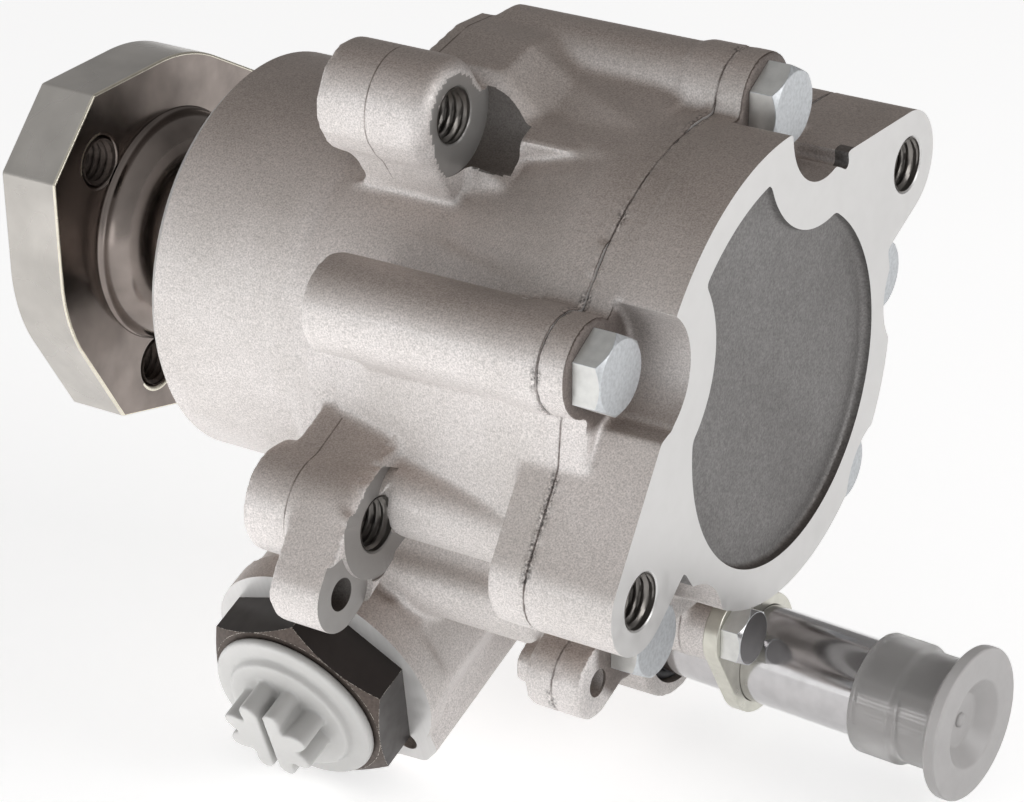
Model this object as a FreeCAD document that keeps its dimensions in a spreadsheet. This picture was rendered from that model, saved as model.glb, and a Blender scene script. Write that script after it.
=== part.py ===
import FreeCAD, Part
import os
import Sketcher

# Power steering pump, a belt-driven vane pump, in millimetres.
# The origin is on the shaft axis at the machined rear face of the cover. The shaft runs along X:
# the pulley hub is towards -X, the rear cover looks towards +X, and +Z is up.

doc = FreeCAD.newDocument("SteeringPump")
sheet = doc.addObject("Spreadsheet::Sheet", "Sizes")

SIZES = {
    # rear cover and the flange it sits on
    "cover_depth": 17.0,
    "pocket_depth": 11.5,
    "flange_depth": 7.3,
    "cast_y": -1.0,
    "cast_z": -1.7,
    "ledge_drop": 0.5,
    "face_radius": 39.4,
    "crown_radius": 47.0,
    "crown_spill": 7.8,
    "recess_depth": 1.8,
    "recess_radius": 32.0,
    "recess_crown_radius": 41.0,
    "recess_crown_start": 20.0,
    "recess_bolt_gap": 20.0,
    "bottom_flat": 41.5,
    "bottom_half": 28.0,
    # cover bolts
    "bolt_circle_radius": 48.3,
    "bolt_top_angle": 76.3,
    "bolt_left_angle": 158.2,
    "bolt_low_left_angle": 229.2,
    "bolt_low_right_angle": 319.7,
    "bolt_right_angle": 3.5,
    "bolt_boss_radius": 8.7,
    "top_ridge_radius": 8.0,
    "ridge_root": 0.45,
    "ridge_root_width": 15.5,
    "bolt_pocket_radius": 11.7,
    "bolt_radius": 4.0,
    "bolt_length": 27.0,
    "bolt_hole_gap": 0.4,
    "bolt_head_flats": 13.0,
    "bolt_head_height": 5.3,
    "ridge_end_x": 64.0,
    "ridge_end_round": 3.0,
    "low_ridge_radius": 7.0,
    "head_crown_top": 0.49,
    "head_crown_slope": 1.2,
    # rear ears with threaded holes
    "ear_hole_radius": 4.25,
    "ear_chamfer": 1.1,
    "ear_a_y": 42.5,
    "ear_a_z": 25.8,
    "ear_a_radius": 10.0,
    "ear_b_y": -48.8,
    "ear_b_z": -21.7,
    "ear_b_radius": 9.5,
    "ear_a_inward": 23.5,
    "ear_a_drop": 5.5,
    "ear_a_spread": 5.5,
    "ear_b_inward": 18.8,
    "ear_b_rise": 21.0,
    "ear_b_spread": 4.5,
    # front ears, the second one in line with the lower rear ear
    "ear_c_y": -22.8,
    "ear_c_z": 44.5,
    "front_ear_radius": 10.0,
    "front_ear_x": 53.5,
    "lower_ear_setback": 1.2,
    "front_ear_length": 22.0,
    "front_ear_round": 3.5,
    "upper_gusset": 0.55,
    "upper_gusset_width": 6.0,
    "lower_gusset": 0.5,
    "lower_gusset_width": 10.0,
    "spot_face_radius": 10.6,
    "lower_spot_radius": 8.2,
    "spot_face_reach": 9.0,
    "lower_spot_reach": 1.5,
    "saddle_radius": 44.5,
    "saddle_reach": 1.5,
    "lower_bar_y": -42.0,
    "lower_bar_z": -18.7,
    "lower_bar_radius": 7.0,
    "lug_e_y": -58.8,
    "lug_e_z": -31.2,
    "lug_e_radius": 7.0,
    "lug_e_length": 11.5,
    "lug_e_hole_radius": 3.0,
    "lug_f_y": -43.0,
    "lug_f_z": -43.2,
    "lug_f_radius": 6.6,
    "lug_f_hole_radius": 2.55,
    "lug_f_depth": 5.4,
    # drum and neck of the housing
    "neck_radius": 37.6,
    "neck_chamfer": 1.5,
    "neck_back_x": 83.0,
    "waist_radius": 37.0,
    "waist_front_x": 78.0,
    "waist_back_x": 52.0,
    "drum_drop": 0.6,
    # pump cartridge
    "cartridge_radius": 30.0,
    "ring_gap": 1.0,
    "rear_plate_width": 5.0,
    "rear_plate_bore": 10.2,
    "ring_width": 18.0,
    "cam_minor": 21.5,
    "cam_major": 24.4,
    "rotor_radius": 21.0,
    "rotor_bore": 7.5,
    "rotor_end_gap": 0.05,
    "vane_count": 10,
    "vane_first_angle": 18.0,
    "vane_thickness": 1.8,
    "vane_height": 7.5,
    "vane_side_gap": 0.03,
    "slot_root_radius": 1.6,
    "pressure_plate_width": 12.0,
    "pressure_plate_bore": 9.2,
    "port_circle_radius": 17.0,
    "port_radius": 2.4,
    "chamber_depth": 5.0,
    "plate_spring_inset": 10.0,
    "plate_spring_reach": 6.0,
    "plate_spring_thickness": 1.6,
    "pin_radius": 2.0,
    "pin_inset": 4.4,
    "pin_angle": 100.0,
    "pin_end_depth": 4.0,
    "plate_groove_depth": 2.16,
    "plate_groove_width": 3.1,
    "cover_ring_outset": 3.4,
    "cover_ring_wire": 1.1,
    # shaft and its bearings
    "web_depth": 21.0,
    "web_bore": 9.6,
    "main_radius": 8.5,
    "journal_radius": 7.0,
    "shaft_end_gap": 1.0,
    "bush_radius": 9.4,
    "bush_width": 10.0,
    "running_gap": 0.04,
    "circlip_width": 1.0,
    "clip_gap_half": 3.0,
    "rotor_circlip_radius": 9.0,
    "circlip_groove": 0.6,
    "seal_width": 7.0,
    "seal_radius": 17.5,
    "seal_wall": 2.0,
    "seal_gap": 5.0,
    "step_bore": 20.5,
    "bearing_width": 14.0,
    "bearing_bore": 10.0,
    "bearing_radius": 23.5,
    "inner_ring_radius": 13.7,
    "outer_ring_bore": 20.0,
    "ball_circle_radius": 16.85,
    "ball_radius": 3.9,
    "ball_count": 8,
    "ball_gap": 0.05,
    "cage_wall": 0.9,
    "cage_width": 10.0,
    "collar_radius": 11.6,
    "collar_width": 2.5,
    "clip_width": 1.75,
    "clip_bore": 20.8,
    "clip_groove_depth": 0.9,
    "nose_depth": 6.5,
    # pulley hub
    "hub_gap": 23.5,
    "hub_flange_width": 12.5,
    "hub_radius": 33.0,
    "hub_chord_distance": 37.2,
    "hub_chord_half": 9.3,
    "hub_chamfer": 0.8,
    "hub_hole_circle": 27.6,
    "hub_hole_radius": 4.5,
    "hub_hole_angle": 137.2,
    "hub_collar_radius": 20.5,
    "hub_collar_length": 6.0,
    "hub_collar_round": 2.0,
    "hub_sleeve_radius": 15.5,
    "hub_sleeve_length": 14.0,
    "hub_nose_radius": 13.0,
    "hub_shaft_radius": 9.0,
    "hub_shaft_recess": 4.0,
    "hub_mouth_radius": 10.6,
    # flow valve across the bottom of the housing
    "valve_x": 70.5,
    "valve_offset": 39.8,
    "valve_tilt": 21.4,
    "valve_bore": 8.5,
    "valve_blind": 10.0,
    "valve_block_back": 26.0,
    "valve_block_half": 22.2,
    "valve_block_flat": 15.7,
    "valve_block_shoulder": 15.6,
    "valve_block_cheek": 19.4,
    "valve_block_cheek_top": 11.1,
    "valve_block_nose": 22.6,
    "valve_block_nose_drop": 2.2,
    "valve_block_step": 18.2,
    "valve_block_step_drop": 10.7,
    "valve_block_heel_drop": 16.7,
    "valve_block_toe_drop": 21.1,
    "valve_barrel_radius": 21.2,
    "valve_boss_radius": 22.4,
    "valve_boss_face": 59.5,
    "valve_boss_width": 6.0,
    "valve_boss_step": 1.4,
    "union_flats": 34.5,
    "union_turn": 20.0,
    "union_height": 9.0,
    "union_chamfer": 1.6,
    "union_shank_radius": 11.0,
    "union_shank_length": 15.0,
    "union_bore": 7.2,
    "union_ring_wire": 1.0,
    "union_ring_offset": 1.8,
    "union_crown_foot": 21.4,
    "union_crown_rim": 20.2,
    "plug_disc_radius": 16.3,
    "plug_disc_width": 1.8,
    "plug_rim_radius": 12.6,
    "plug_rim_width": 1.0,
    "plug_stem_radius": 7.15,
    "plug_stem_length": 9.0,
    "grip_length": 9.0,
    "grip_radius": 8.6,
    "grip_lobe_radius": 2.1,
    "grip_lobe_count": 8,
    "grip_slot": 3.2,
    "spool_start": 12.0,
    "spool_length": 26.0,
    "spool_gap": 0.04,
    "spool_groove_depth": 1.2,
    "spool_groove_width": 3.0,
    "spool_seat_radius": 5.8,
    "spool_seat_depth": 6.0,
    "spring_radius": 4.7,
    "spring_wire": 0.7,
    "spring_turns": 6.0,
    "gallery_plug_radius": 2.2,
    "gallery_plug_x": 14.0,
    "gallery_plug_height": 14.4,
    "gallery_depth": 12.0,
    # suction side
    "suction_face": 12.0,
    "suction_seat": 27.0,
    "suction_y": 11.5,
    "suction_z": -61.7,
    "suction_boss_radius": 13.5,
    "suction_root": 19.5,
    "suction_root_share": 0.4,
    "suction_boss_depth": 33.0,
    "suction_bore_depth": 13.0,
    "suction_gallery_radius": 6.0,
    "suction_bolt_y": -0.2,
    "suction_bolt_z": -52.2,
    "suction_bolt_boss": 6.2,
    "suction_plate_width": 3.0,
    "suction_plate_eye": 11.4,
    "suction_plate_tab": 6.4,
    "suction_bolt_radius": 3.0,
    "suction_bolt_flats": 10.0,
    "suction_bolt_head": 4.0,
    "suction_bolt_length": 18.0,
    "tube_radius": 9.1,
    "tube_wall": 1.5,
    "tube_reach": 42.0,
    "tube_spigot": 9.0,
    "tube_swing": 4.0,
    "tube_ring_wire": 1.0,
    "cap_start": 24.5,
    "cap_ring_radius": 11.25,
    "cap_ring_length": 8.0,
    "cap_waist_radius": 10.4,
    "cap_disc_radius": 14.25,
    "cap_disc_width": 2.2,
    "cap_dish_radius": 8.4,
    "cap_dish_depth": 3.0,
    "cap_wall": 1.2,
}

for row, (alias, size) in enumerate(SIZES.items(), start=1):
    sheet.set(f"A{row}", alias.replace("_", " "))
    sheet.set(f"B{row}", str(size))
    sheet.setAlias(f"B{row}", alias)
doc.recompute()


def of(alias):
    """The cell of one size, as text for an expression."""
    return f"Sizes.{alias}"


def number(text):
    """What an expression is worth now."""
    return float(sheet.evalExpression(str(text)))


# Stations along the shaft, each worked out from the one behind it.
FACE = "0"
RECESS = f"-{of('recess_depth')}"
LEDGE = f"-{of('pocket_depth')}"
JOINT = f"-{of('cover_depth')}"
FLANGE = f"{JOINT} - {of('flange_depth')}"
RING_BACK = f"{JOINT} - {of('rear_plate_width')}"
RING_FRONT = f"{RING_BACK} - {of('ring_width')}"
PLATE_FRONT = f"{RING_FRONT} - {of('pressure_plate_width')}"
CHAMBER_END = f"{PLATE_FRONT} - {of('chamber_depth')}"
SEAL_BACK = f"{CHAMBER_END} - {of('web_depth')}"
SEAL_FRONT = f"{SEAL_BACK} - {of('seal_width')}"
BEARING_BACK = f"{SEAL_FRONT} - {of('seal_gap')}"
BEARING_FRONT = f"{BEARING_BACK} - {of('bearing_width')}"
CLIP_FRONT = f"{BEARING_FRONT} - {of('clip_width')}"
NECK_FRONT = f"{BEARING_FRONT} - {of('nose_depth')}"
HUB_BACK = f"{NECK_FRONT} - {of('hub_gap')}"
HUB_FRONT = f"{HUB_BACK} - {of('hub_flange_width')}"
SHAFT_FRONT = f"{HUB_FRONT} + {of('hub_shaft_recess')}"
BUSH_END = f"{JOINT} + {of('bush_width')} + {of('shaft_end_gap')}"
EARS_FRONT = f"-{of('front_ear_x')}"
RIDGE_END = f"-{of('ridge_end_x')}"
SUCTION_FACE = f"-{of('suction_face')}"
GROOVE_DEPTH = f"2 * {of('cover_ring_wire')}"
LOWER_EAR = f"{EARS_FRONT} + {of('lower_ear_setback')}"
SUCTION_SEAT = f"-{of('suction_seat')}"
SEAT_SLIDE = f"({SUCTION_SEAT} - ({SUCTION_FACE}) - {of('suction_plate_width')})"

# Sizes that follow others, and the middle of the round casting, which isn't on the shaft.
LEDGE_RADIUS = f"({of('crown_radius')} - {of('ledge_drop')})"
DRUM_RADIUS = f"({of('crown_radius')} - {of('drum_drop')})"
RING_RADIUS = f"({of('cartridge_radius')} - {of('ring_gap')})"
PIN_CIRCLE = f"({of('cartridge_radius')} - {of('pin_inset')})"
COVER_RING = f"({of('cartridge_radius')} + {of('cover_ring_outset')})"
SPRING_RADIUS = f"({of('cartridge_radius')} - {of('plate_spring_inset')})"
UNION_RING = f"({of('union_shank_radius')} + {of('union_ring_offset')})"
MIDDLE = (of("cast_y"), of("cast_z"))

ALONG_X = FreeCAD.Rotation(FreeCAD.Vector(0, 1, 0), 90)
BOLT_ANGLES = ("bolt_top_angle", "bolt_left_angle", "bolt_low_left_angle",
               "bolt_low_right_angle", "bolt_right_angle")


def bind(item, **links):
    """Tie properties to expressions; a double underscore in a name stands for a dot."""
    for name, text in links.items():
        item.setExpression(name.replace("__", "."), str(text))
    return item


def polar(radius, angle):
    """Y and Z of a point given by its radius and angle."""
    return f"({radius}) * cos({angle})", f"({radius}) * sin({angle})"


def off_middle(radius, angle):
    """The same, about the middle of the round casting."""
    y, z = polar(radius, angle)
    return f"({of('cast_y')} + {y})", f"({of('cast_z')} + {z})"


def rod(name, start, end, radius, y="0", z="0"):
    """A round bar along X from one station to another."""
    bar = doc.addObject("Part::Cylinder", name)
    bar.Placement = FreeCAD.Placement(FreeCAD.Vector(), ALONG_X)
    return bind(bar, Radius=radius, Height=f"({end}) - ({start})", Placement__Base__x=start,
                Placement__Base__y=y, Placement__Base__z=z)


def cone(name, start, end, start_radius, end_radius, y="0", z="0"):
    """A cone along X."""
    bar = doc.addObject("Part::Cone", name)
    bar.Placement = FreeCAD.Placement(FreeCAD.Vector(), ALONG_X)
    return bind(bar, Radius1=start_radius, Radius2=end_radius, Height=f"({end}) - ({start})",
                Placement__Base__x=start, Placement__Base__y=y, Placement__Base__z=z)


def hexagon(name, start, end, flats, y="0", z="0"):
    """A six-sided bar along X, measured across its flats."""
    bar = doc.addObject("Part::Prism", name)
    bar.Polygon = 6
    bar.Placement = FreeCAD.Placement(FreeCAD.Vector(), ALONG_X)
    return bind(bar, Circumradius=f"{flats} / 2 / cos(30)", Height=f"({end}) - ({start})",
                Placement__Base__x=start, Placement__Base__y=y, Placement__Base__z=z)


def torus(name, station, ring_radius, wire, y="0", z="0"):
    """A ring of round section about an axis along X."""
    ring = doc.addObject("Part::Torus", name)
    ring.Placement = FreeCAD.Placement(FreeCAD.Vector(), ALONG_X)
    return bind(ring, Radius1=ring_radius, Radius2=wire, Placement__Base__x=station,
                Placement__Base__y=y, Placement__Base__z=z)


def rounded(name, bar, radius, edges=("Edge3",)):
    """The same bar with some of its rims rounded."""
    soft = doc.addObject("Part::Fillet", name)
    soft.Base = bar
    soft.Edges = [(int(edge[4:]), number(radius), number(radius)) for edge in edges]
    return soft


def joined(name, parts):
    """Several solids as one."""
    whole = doc.addObject("Part::MultiFuse", name)
    whole.Shapes = parts
    whole.Refine = True
    return whole


def less(name, base, *sets):
    """A solid with others taken out of it, one set of tools after the other."""
    for index, tools in enumerate(sets, start=1):
        tool = tools[0]
        if len(tools) > 1:
            tool = doc.addObject("Part::MultiFuse", f"{name}_tools_{index}")
            tool.Shapes = tools
        rest = doc.addObject("Part::Cut", name if index == len(sets) else f"{name}_stage_{index}")
        rest.Base = base
        rest.Tool = tool
        base = rest
    return base


def shared(name, parts):
    """What several solids have in common."""
    rest = doc.addObject("Part::MultiCommon", name)
    rest.Shapes = parts
    return rest


def group(name, parts):
    """Separate solids that share one node."""
    several = doc.addObject("Part::Compound", name)
    several.Links = parts
    return several


def sketch_on(body, role, name, height="0"):
    """A sketch on one of the body's own origin planes, or at a height above it."""
    sketch = body.newObject("Sketcher::SketchObject", name)
    plane = [item for item in body.Origin.OriginFeatures if item.Role == role][0]
    sketch.AttachmentSupport = (plane, [""])
    sketch.MapMode = "FlatFace"
    sketch.setExpression("AttachmentOffset.Base.z", str(height))
    return sketch


def hold(sketch, kind, first, first_end, second, second_end, text):
    """A distance in a sketch, tied to an expression."""
    index = sketch.addConstraint(
        Sketcher.Constraint(kind, first, first_end, second, second_end, number(text)))
    sketch.setExpression(f"Constraints[{index}]", str(text))


def closed(sketch, corners):
    """A closed outline of straight edges; each corner is held by two expressions."""
    first = sketch.GeometryCount
    count = len(corners)
    spots = [FreeCAD.Vector(number(across), number(up), 0) for across, up in corners]
    for index, spot in enumerate(spots):
        sketch.addGeometry(Part.LineSegment(spot, spots[(index + 1) % count]))
    for index in range(count):
        following = first + (index + 1) % count
        sketch.addConstraint(Sketcher.Constraint("Coincident", first + index, 2, following, 1))
    for index, (across, up) in enumerate(corners):
        hold(sketch, "DistanceX", -1, 1, first + index, 1, across)
        hold(sketch, "DistanceY", -1, 1, first + index, 1, up)


def circle(sketch, radius, across="0", up="0"):
    """A circle held by its centre and radius."""
    centre = FreeCAD.Vector(number(across), number(up), 0)
    index = sketch.addGeometry(Part.Circle(centre, FreeCAD.Vector(0, 0, 1), number(radius)))
    hold(sketch, "DistanceX", -1, 1, index, 3, across)
    hold(sketch, "DistanceY", -1, 1, index, 3, up)
    size = sketch.addConstraint(Sketcher.Constraint("Radius", index, number(radius)))
    sketch.setExpression(f"Constraints[{size}]", str(radius))


def pad(body, sketch, length, name):
    """The sketch drawn out to a solid."""
    solid = body.newObject("PartDesign::Pad", name)
    solid.Profile = sketch
    bind(solid, Length=length)
    body.Tip = solid
    return solid


def turned(name, corners):
    """A piece turned about X from a profile of (station, radius) corners."""
    body = doc.addObject("PartDesign::Body", name)
    sketch = sketch_on(body, "XZ_Plane", name + "_profile")
    closed(sketch, corners)
    spin = body.newObject("PartDesign::Revolution", name + "_turn")
    spin.Profile = sketch
    spin.ReferenceAxis = (sketch, ["H_Axis"])
    spin.Angle = 360
    body.Tip = spin
    return body


def round_ring(name, station, radius, wire):
    """A ring of round section turned about X, such as one that lies on a swung tube."""
    body = doc.addObject("PartDesign::Body", name)
    sketch = sketch_on(body, "XZ_Plane", name + "_section")
    circle(sketch, wire, station, radius)
    spin = body.newObject("PartDesign::Revolution", name + "_turn")
    spin.Profile = sketch
    spin.ReferenceAxis = (sketch, ["H_Axis"])
    spin.Angle = 360
    body.Tip = spin
    return body


def sleeve(name, start, end, bore, radius):
    """A plain ring between two stations."""
    return turned(name, [(start, bore), (start, radius), (end, radius), (end, bore)])


def slab(name, corners, start, end):
    """A straight-sided prism along X; corners are (Y, Z) pairs."""
    body = doc.addObject("PartDesign::Body", name)
    sketch = sketch_on(body, "YZ_Plane", name + "_outline", start)
    closed(sketch, corners)
    pad(body, sketch, f"({end}) - ({start})", name + "_pad")
    return body


def strap(name, first, second, start, end):
    """The web between two round bosses, bounded by their outer tangents."""
    (y1, z1, r1), (y2, z2, r2) = first, second
    turn = f"atan2({z2} - ({z1}); {y2} - ({y1}))"
    lean = f"acos(({r1} - ({r2})) / hypot({y2} - ({y1}); {z2} - ({z1})))"
    corners = []
    for y, z, r, sign in ((y1, z1, r1, "+"), (y2, z2, r2, "+"), (y2, z2, r2, "-"), (y1, z1, r1, "-")):
        corners.append((f"{y} + ({r}) * cos({turn} {sign} {lean})",
                        f"{z} + ({r}) * sin({turn} {sign} {lean})"))
    return slab(name, corners, start, end)


def boss(name, centre, start, end):
    """A round boss given as (Y, Z, radius)."""
    y, z, radius = centre
    return rod(name, start, end, radius, y, z)


def on_valve(item, slide, across, up):
    """Place a piece on the valve axis: how far out along it, across along X, and up."""
    tilt = of("valve_tilt")
    height = f"({of('valve_offset')} - ({up}))"
    return bind(item, Placement__Base__x=f"-{of('valve_x')} + {across}",
                Placement__Base__y=f"{height} * sin({tilt}) - ({slide}) * cos({tilt})",
                Placement__Base__z=f"-{height} * cos({tilt}) - ({slide}) * sin({tilt})")


def across_valve(item, across="0", up="0"):
    """Lay a piece made along X onto the valve axis, which looks out to the lower left."""
    item.Placement = FreeCAD.Placement(FreeCAD.Vector(), FreeCAD.Rotation(-90, 0, 0))
    bind(item, Placement__Rotation__Pitch=of("valve_tilt"))
    return on_valve(item, "0", across, up)


def lay_on_valve(bar, slide, across="0", up="0"):
    """Lay a bar or ring whose own axis is Z onto the valve axis."""
    tilt = of("valve_tilt")
    bar.Placement = FreeCAD.Placement(FreeCAD.Vector(),
                                      FreeCAD.Rotation(FreeCAD.Vector(1, 0, 0), 90 + number(tilt)))
    bind(bar, Placement__Rotation__Angle=f"90 + {tilt}")
    return on_valve(bar, slide, across, up)


def along_tube(item):
    """Swing a piece made along X onto the suction tube's axis."""
    item.Placement = FreeCAD.Placement(FreeCAD.Vector(), FreeCAD.Rotation(-number(of("tube_swing")), 0, 0))
    return bind(item, Placement__Rotation__Yaw=f"-{of('tube_swing')}",
                Placement__Base__x=f"{SUCTION_FACE} + {of('suction_plate_width')}",
                Placement__Base__y=of("suction_y"), Placement__Base__z=of("suction_z"))


# Places that several pieces share, as (Y, Z, radius).
BOLTS = [off_middle(of("bolt_circle_radius"), of(angle)) for angle in BOLT_ANGLES]
EAR_A = (of("ear_a_y"), of("ear_a_z"), of("ear_a_radius"))
EAR_B = (of("ear_b_y"), of("ear_b_z"), of("ear_b_radius"))
EAR_C = (of("ear_c_y"), of("ear_c_z"), of("front_ear_radius"))
EAR_D = (of("ear_b_y"), of("ear_b_z"), of("front_ear_radius"))
LUG_E = (of("lug_e_y"), of("lug_e_z"), of("lug_e_radius"))
LUG_F = (of("lug_f_y"), of("lug_f_z"), of("lug_f_radius"))
SUCTION = (of("suction_y"), of("suction_z"), of("suction_boss_radius"))
SUCTION_BOLT = (of("suction_bolt_y"), of("suction_bolt_z"), of("suction_bolt_boss"))
PLATE_START = SUCTION_FACE
PLATE_FACE = f"{SUCTION_FACE} + {of('suction_plate_width')}"


def ear_straps(name, start, end):
    """The webs that carry the two rear ears on the round body."""
    root_a = (f"{of('ear_a_y')} - {of('ear_a_inward')}", f"{of('ear_a_z')} - {of('ear_a_drop')}",
              f"{of('ear_a_radius')} + {of('ear_a_spread')}")
    root_b = (f"{of('ear_b_y')} + {of('ear_b_inward')}", f"{of('ear_b_z')} + {of('ear_b_rise')}",
              f"{of('ear_b_radius')} + {of('ear_b_spread')}")
    return [
        boss(name + "_ear_a", EAR_A, start, end),
        strap(name + "_web_a", EAR_A, root_a, start, end),
        boss(name + "_ear_b", EAR_B, start, end),
        strap(name + "_web_b", EAR_B, root_b, start, end),
    ]


def rim(name, start, end):
    """The low outline that cover and housing share at their joint."""
    disc = rod(name + "_disc", start, end, LEDGE_RADIUS, *MIDDLE)
    flat = f"{of('cast_z')} - {of('bottom_flat')}"
    under = f"{flat} - {of('crown_radius')}"
    side = of("bottom_half")
    corners = [(f"-{side}", flat), (f"-{side}", under), (side, under), (side, flat)]
    trim = slab(name + "_trim", corners, start, end)
    parts = [less(name + "_round", disc, [trim])]
    for index, (y, z) in enumerate(BOLTS):
        parts.append(rod(f"{name}_boss_{index + 1}", start, end, of("bolt_boss_radius"), y, z))
    low = (*BOLTS[2], of("lug_f_radius"))
    parts.append(boss(name + "_lug", LUG_F, f"{JOINT} - {of('lug_f_depth')}" if name == "flange" else start,
                      end))
    parts.append(strap(name + "_lug_web", low, LUG_F,
                       f"{JOINT} - {of('lug_f_depth')}" if name == "flange" else start, end))
    return parts + ear_straps(name, start, end)


def make_cover():
    """The rear cover: low rim at the joint, high face with pockets for the bolt heads."""
    low = joined("cover_low", rim("cover", JOINT, LEDGE))
    middle = f"({of('bolt_top_angle')} + {of('bolt_left_angle')}) / 2"
    crown_start = (f"{of('crown_radius')} * cos(({of('bolt_left_angle')} - {of('bolt_top_angle')}) / 2"
                   f" + {of('crown_spill')})")

    def crown(name, radius, start, back, front):
        """The part of a disc beyond a chord, between the top and the left bolt."""
        disc = rod(name + "_disc", back, front, radius, *MIDDLE)
        keep = doc.addObject("Part::Box", name + "_side")
        keep.Placement = FreeCAD.Placement(FreeCAD.Vector(), FreeCAD.Rotation(FreeCAD.Vector(1, 0, 0), 27))
        turn = f"{middle} - 90"
        half = f"{radius} + 5"
        bind(keep, Length=f"({front}) - ({back})", Width=f"2 * ({half})", Height=f"{radius}",
             Placement__Rotation__Angle=turn, Placement__Base__x=back,
             Placement__Base__y=f"{of('cast_y')} - ({half}) * cos({turn}) - ({start}) * sin({turn})",
             Placement__Base__z=f"{of('cast_z')} - ({half}) * sin({turn}) + ({start}) * cos({turn})")
        return shared(name, [disc, keep])

    high = joined("cover_high", [
        rod("face_disc", LEDGE, FACE, of("face_radius"), *MIDDLE),
        crown("face_crown", of("crown_radius"), crown_start, LEDGE, FACE),
        *ear_straps("face", LEDGE, FACE),
    ])
    pockets = [rod(f"pocket_{index + 1}", LEDGE, "1", of("bolt_pocket_radius"), y, z)
               for index, (y, z) in enumerate(BOLTS)]
    high = less("cover_pocketed", high, pockets)
    whole = joined("cover_cast", [low, high])

    recess = joined("recess_area", [
        rod("recess_disc", RECESS, "1", of("recess_radius"), *MIDDLE),
        crown("recess_crown", of("recess_crown_radius"), of("recess_crown_start"), RECESS, "1"),
    ])
    corners = [rod(f"recess_corner_{index + 1}", RECESS, "1", of("recess_bolt_gap"), *BOLTS[index])
               for index in (0, 1)]
    recess = less("recess_floor", recess, corners)

    holes = [rod(f"cover_bolt_hole_{index + 1}", JOINT, FACE,
                 f"{of('bolt_radius')} + {of('bolt_hole_gap')}", y, z)
             for index, (y, z) in enumerate(BOLTS)]
    for name, (y, z, _) in (("ear_a", EAR_A), ("ear_b", EAR_B)):
        holes.append(rod(name + "_thread", JOINT, FACE, of("ear_hole_radius"), y, z))
        holes.append(cone(name + "_mouth", f"-{of('ear_chamfer')}", FACE, of("ear_hole_radius"),
                          f"{of('ear_hole_radius')} + {of('ear_chamfer')}", y, z))
    holes.append(rod("lug_f_cover_hole", JOINT, LEDGE, of("lug_f_hole_radius"), LUG_F[0], LUG_F[1]))
    holes.append(rod("cover_journal", JOINT, BUSH_END, of("bush_radius")))
    holes.append(sleeve("cover_ring_groove", JOINT, f"{JOINT} + {GROOVE_DEPTH}",
                        f"{COVER_RING} - {of('cover_ring_wire')}",
                        f"{COVER_RING} + {of('cover_ring_wire')}"))
    holes += pin_holes("cover", JOINT, f"{JOINT} + {of('pin_end_depth')}")
    return less("rear_cover", whole, [recess, *holes])


def pin_spots():
    """Where the two locating pins stand."""
    return [polar(PIN_CIRCLE, f"({of('pin_angle')} + {turn})") for turn in (0, 180)]


def pin_holes(name, start, end):
    return [rod(f"{name}_pin_hole_{index + 1}", start, end, of("pin_radius"), y, z)
            for index, (y, z) in enumerate(pin_spots())]


def make_ridges():
    """The long bolt bosses that run forward along the drum, rounded at their front ends."""
    radii = ["top_ridge_radius", "bolt_boss_radius", "low_ridge_radius", "bolt_boss_radius",
             "bolt_boss_radius"]
    ridges = []
    for index, ((y, z), radius) in enumerate(zip(BOLTS, radii)):
        bar = rod(f"ridge_bar_{index + 1}", RIDGE_END, JOINT, of(radius), y, z)
        ridges.append(rounded(f"ridge_{index + 1}", bar, of("ridge_end_round")))
        root = (f"{y} * {of('ridge_root')}", f"{z} * {of('ridge_root')}", of("ridge_root_width"))
        ridges.append(strap(f"ridge_root_{index + 1}", (y, z, f"{of(radius)} - 1"), root,
                            f"{RIDGE_END} + {of('ridge_end_round')}", JOINT))
    return ridges


def make_front_ears():
    """The two front ears with their gussets, the small lug below and the metal behind both."""
    made = []
    for name, ear, end, share in (("ear_c", EAR_C, EARS_FRONT, "upper_gusset"),
                                  ("ear_d", EAR_D, LOWER_EAR, "lower_gusset")):
        start = f"{end} - {of('front_ear_length')}"
        y, z, radius = ear
        root = (f"({y}) * {of(share)}", f"({z}) * {of(share)}", of(share + "_width"))
        made.append(rounded(name + "_boss", boss(name + "_bar", ear, start, end), of("front_ear_round")))
        made.append(strap(name + "_gusset", (y, z, f"{radius} - 1"), root,
                          f"{start} + {of('front_ear_round')}", end))
    lug_start = f"{LOWER_EAR} - {of('lug_e_length')}"
    made.append(boss("lug_e_boss", LUG_E, lug_start, LOWER_EAR))
    made.append(strap("lug_e_web", EAR_D, LUG_E, lug_start, LOWER_EAR))
    made.append(rod("lower_bar", LOWER_EAR, FLANGE, of("lower_bar_radius"), of("lower_bar_y"),
                    of("lower_bar_z")))
    root = (f"{of('lower_bar_y')} * {of('lower_gusset')}", f"{of('lower_bar_z')} * {of('lower_gusset')}",
            of("lower_bar_radius"))
    made.append(strap("lower_bar_root", (of("lower_bar_y"), of("lower_bar_z"), of("lower_bar_radius")), root,
                      LOWER_EAR, FLANGE))
    swell = rod("saddle_disc", EARS_FRONT, FLANGE, of("saddle_radius"), *MIDDLE)
    top = BOLTS[0]
    beyond = of("saddle_reach")
    wedge = slab("saddle_wedge", [MIDDLE, (f"{top[0]} * {beyond}", f"{top[1]} * {beyond}"),
                                  (f"{EAR_C[0]} * {beyond}", f"{EAR_C[1]} * {beyond}")], EARS_FRONT, FLANGE)
    made.append(shared("saddle", [swell, wedge]))
    return made


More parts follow.
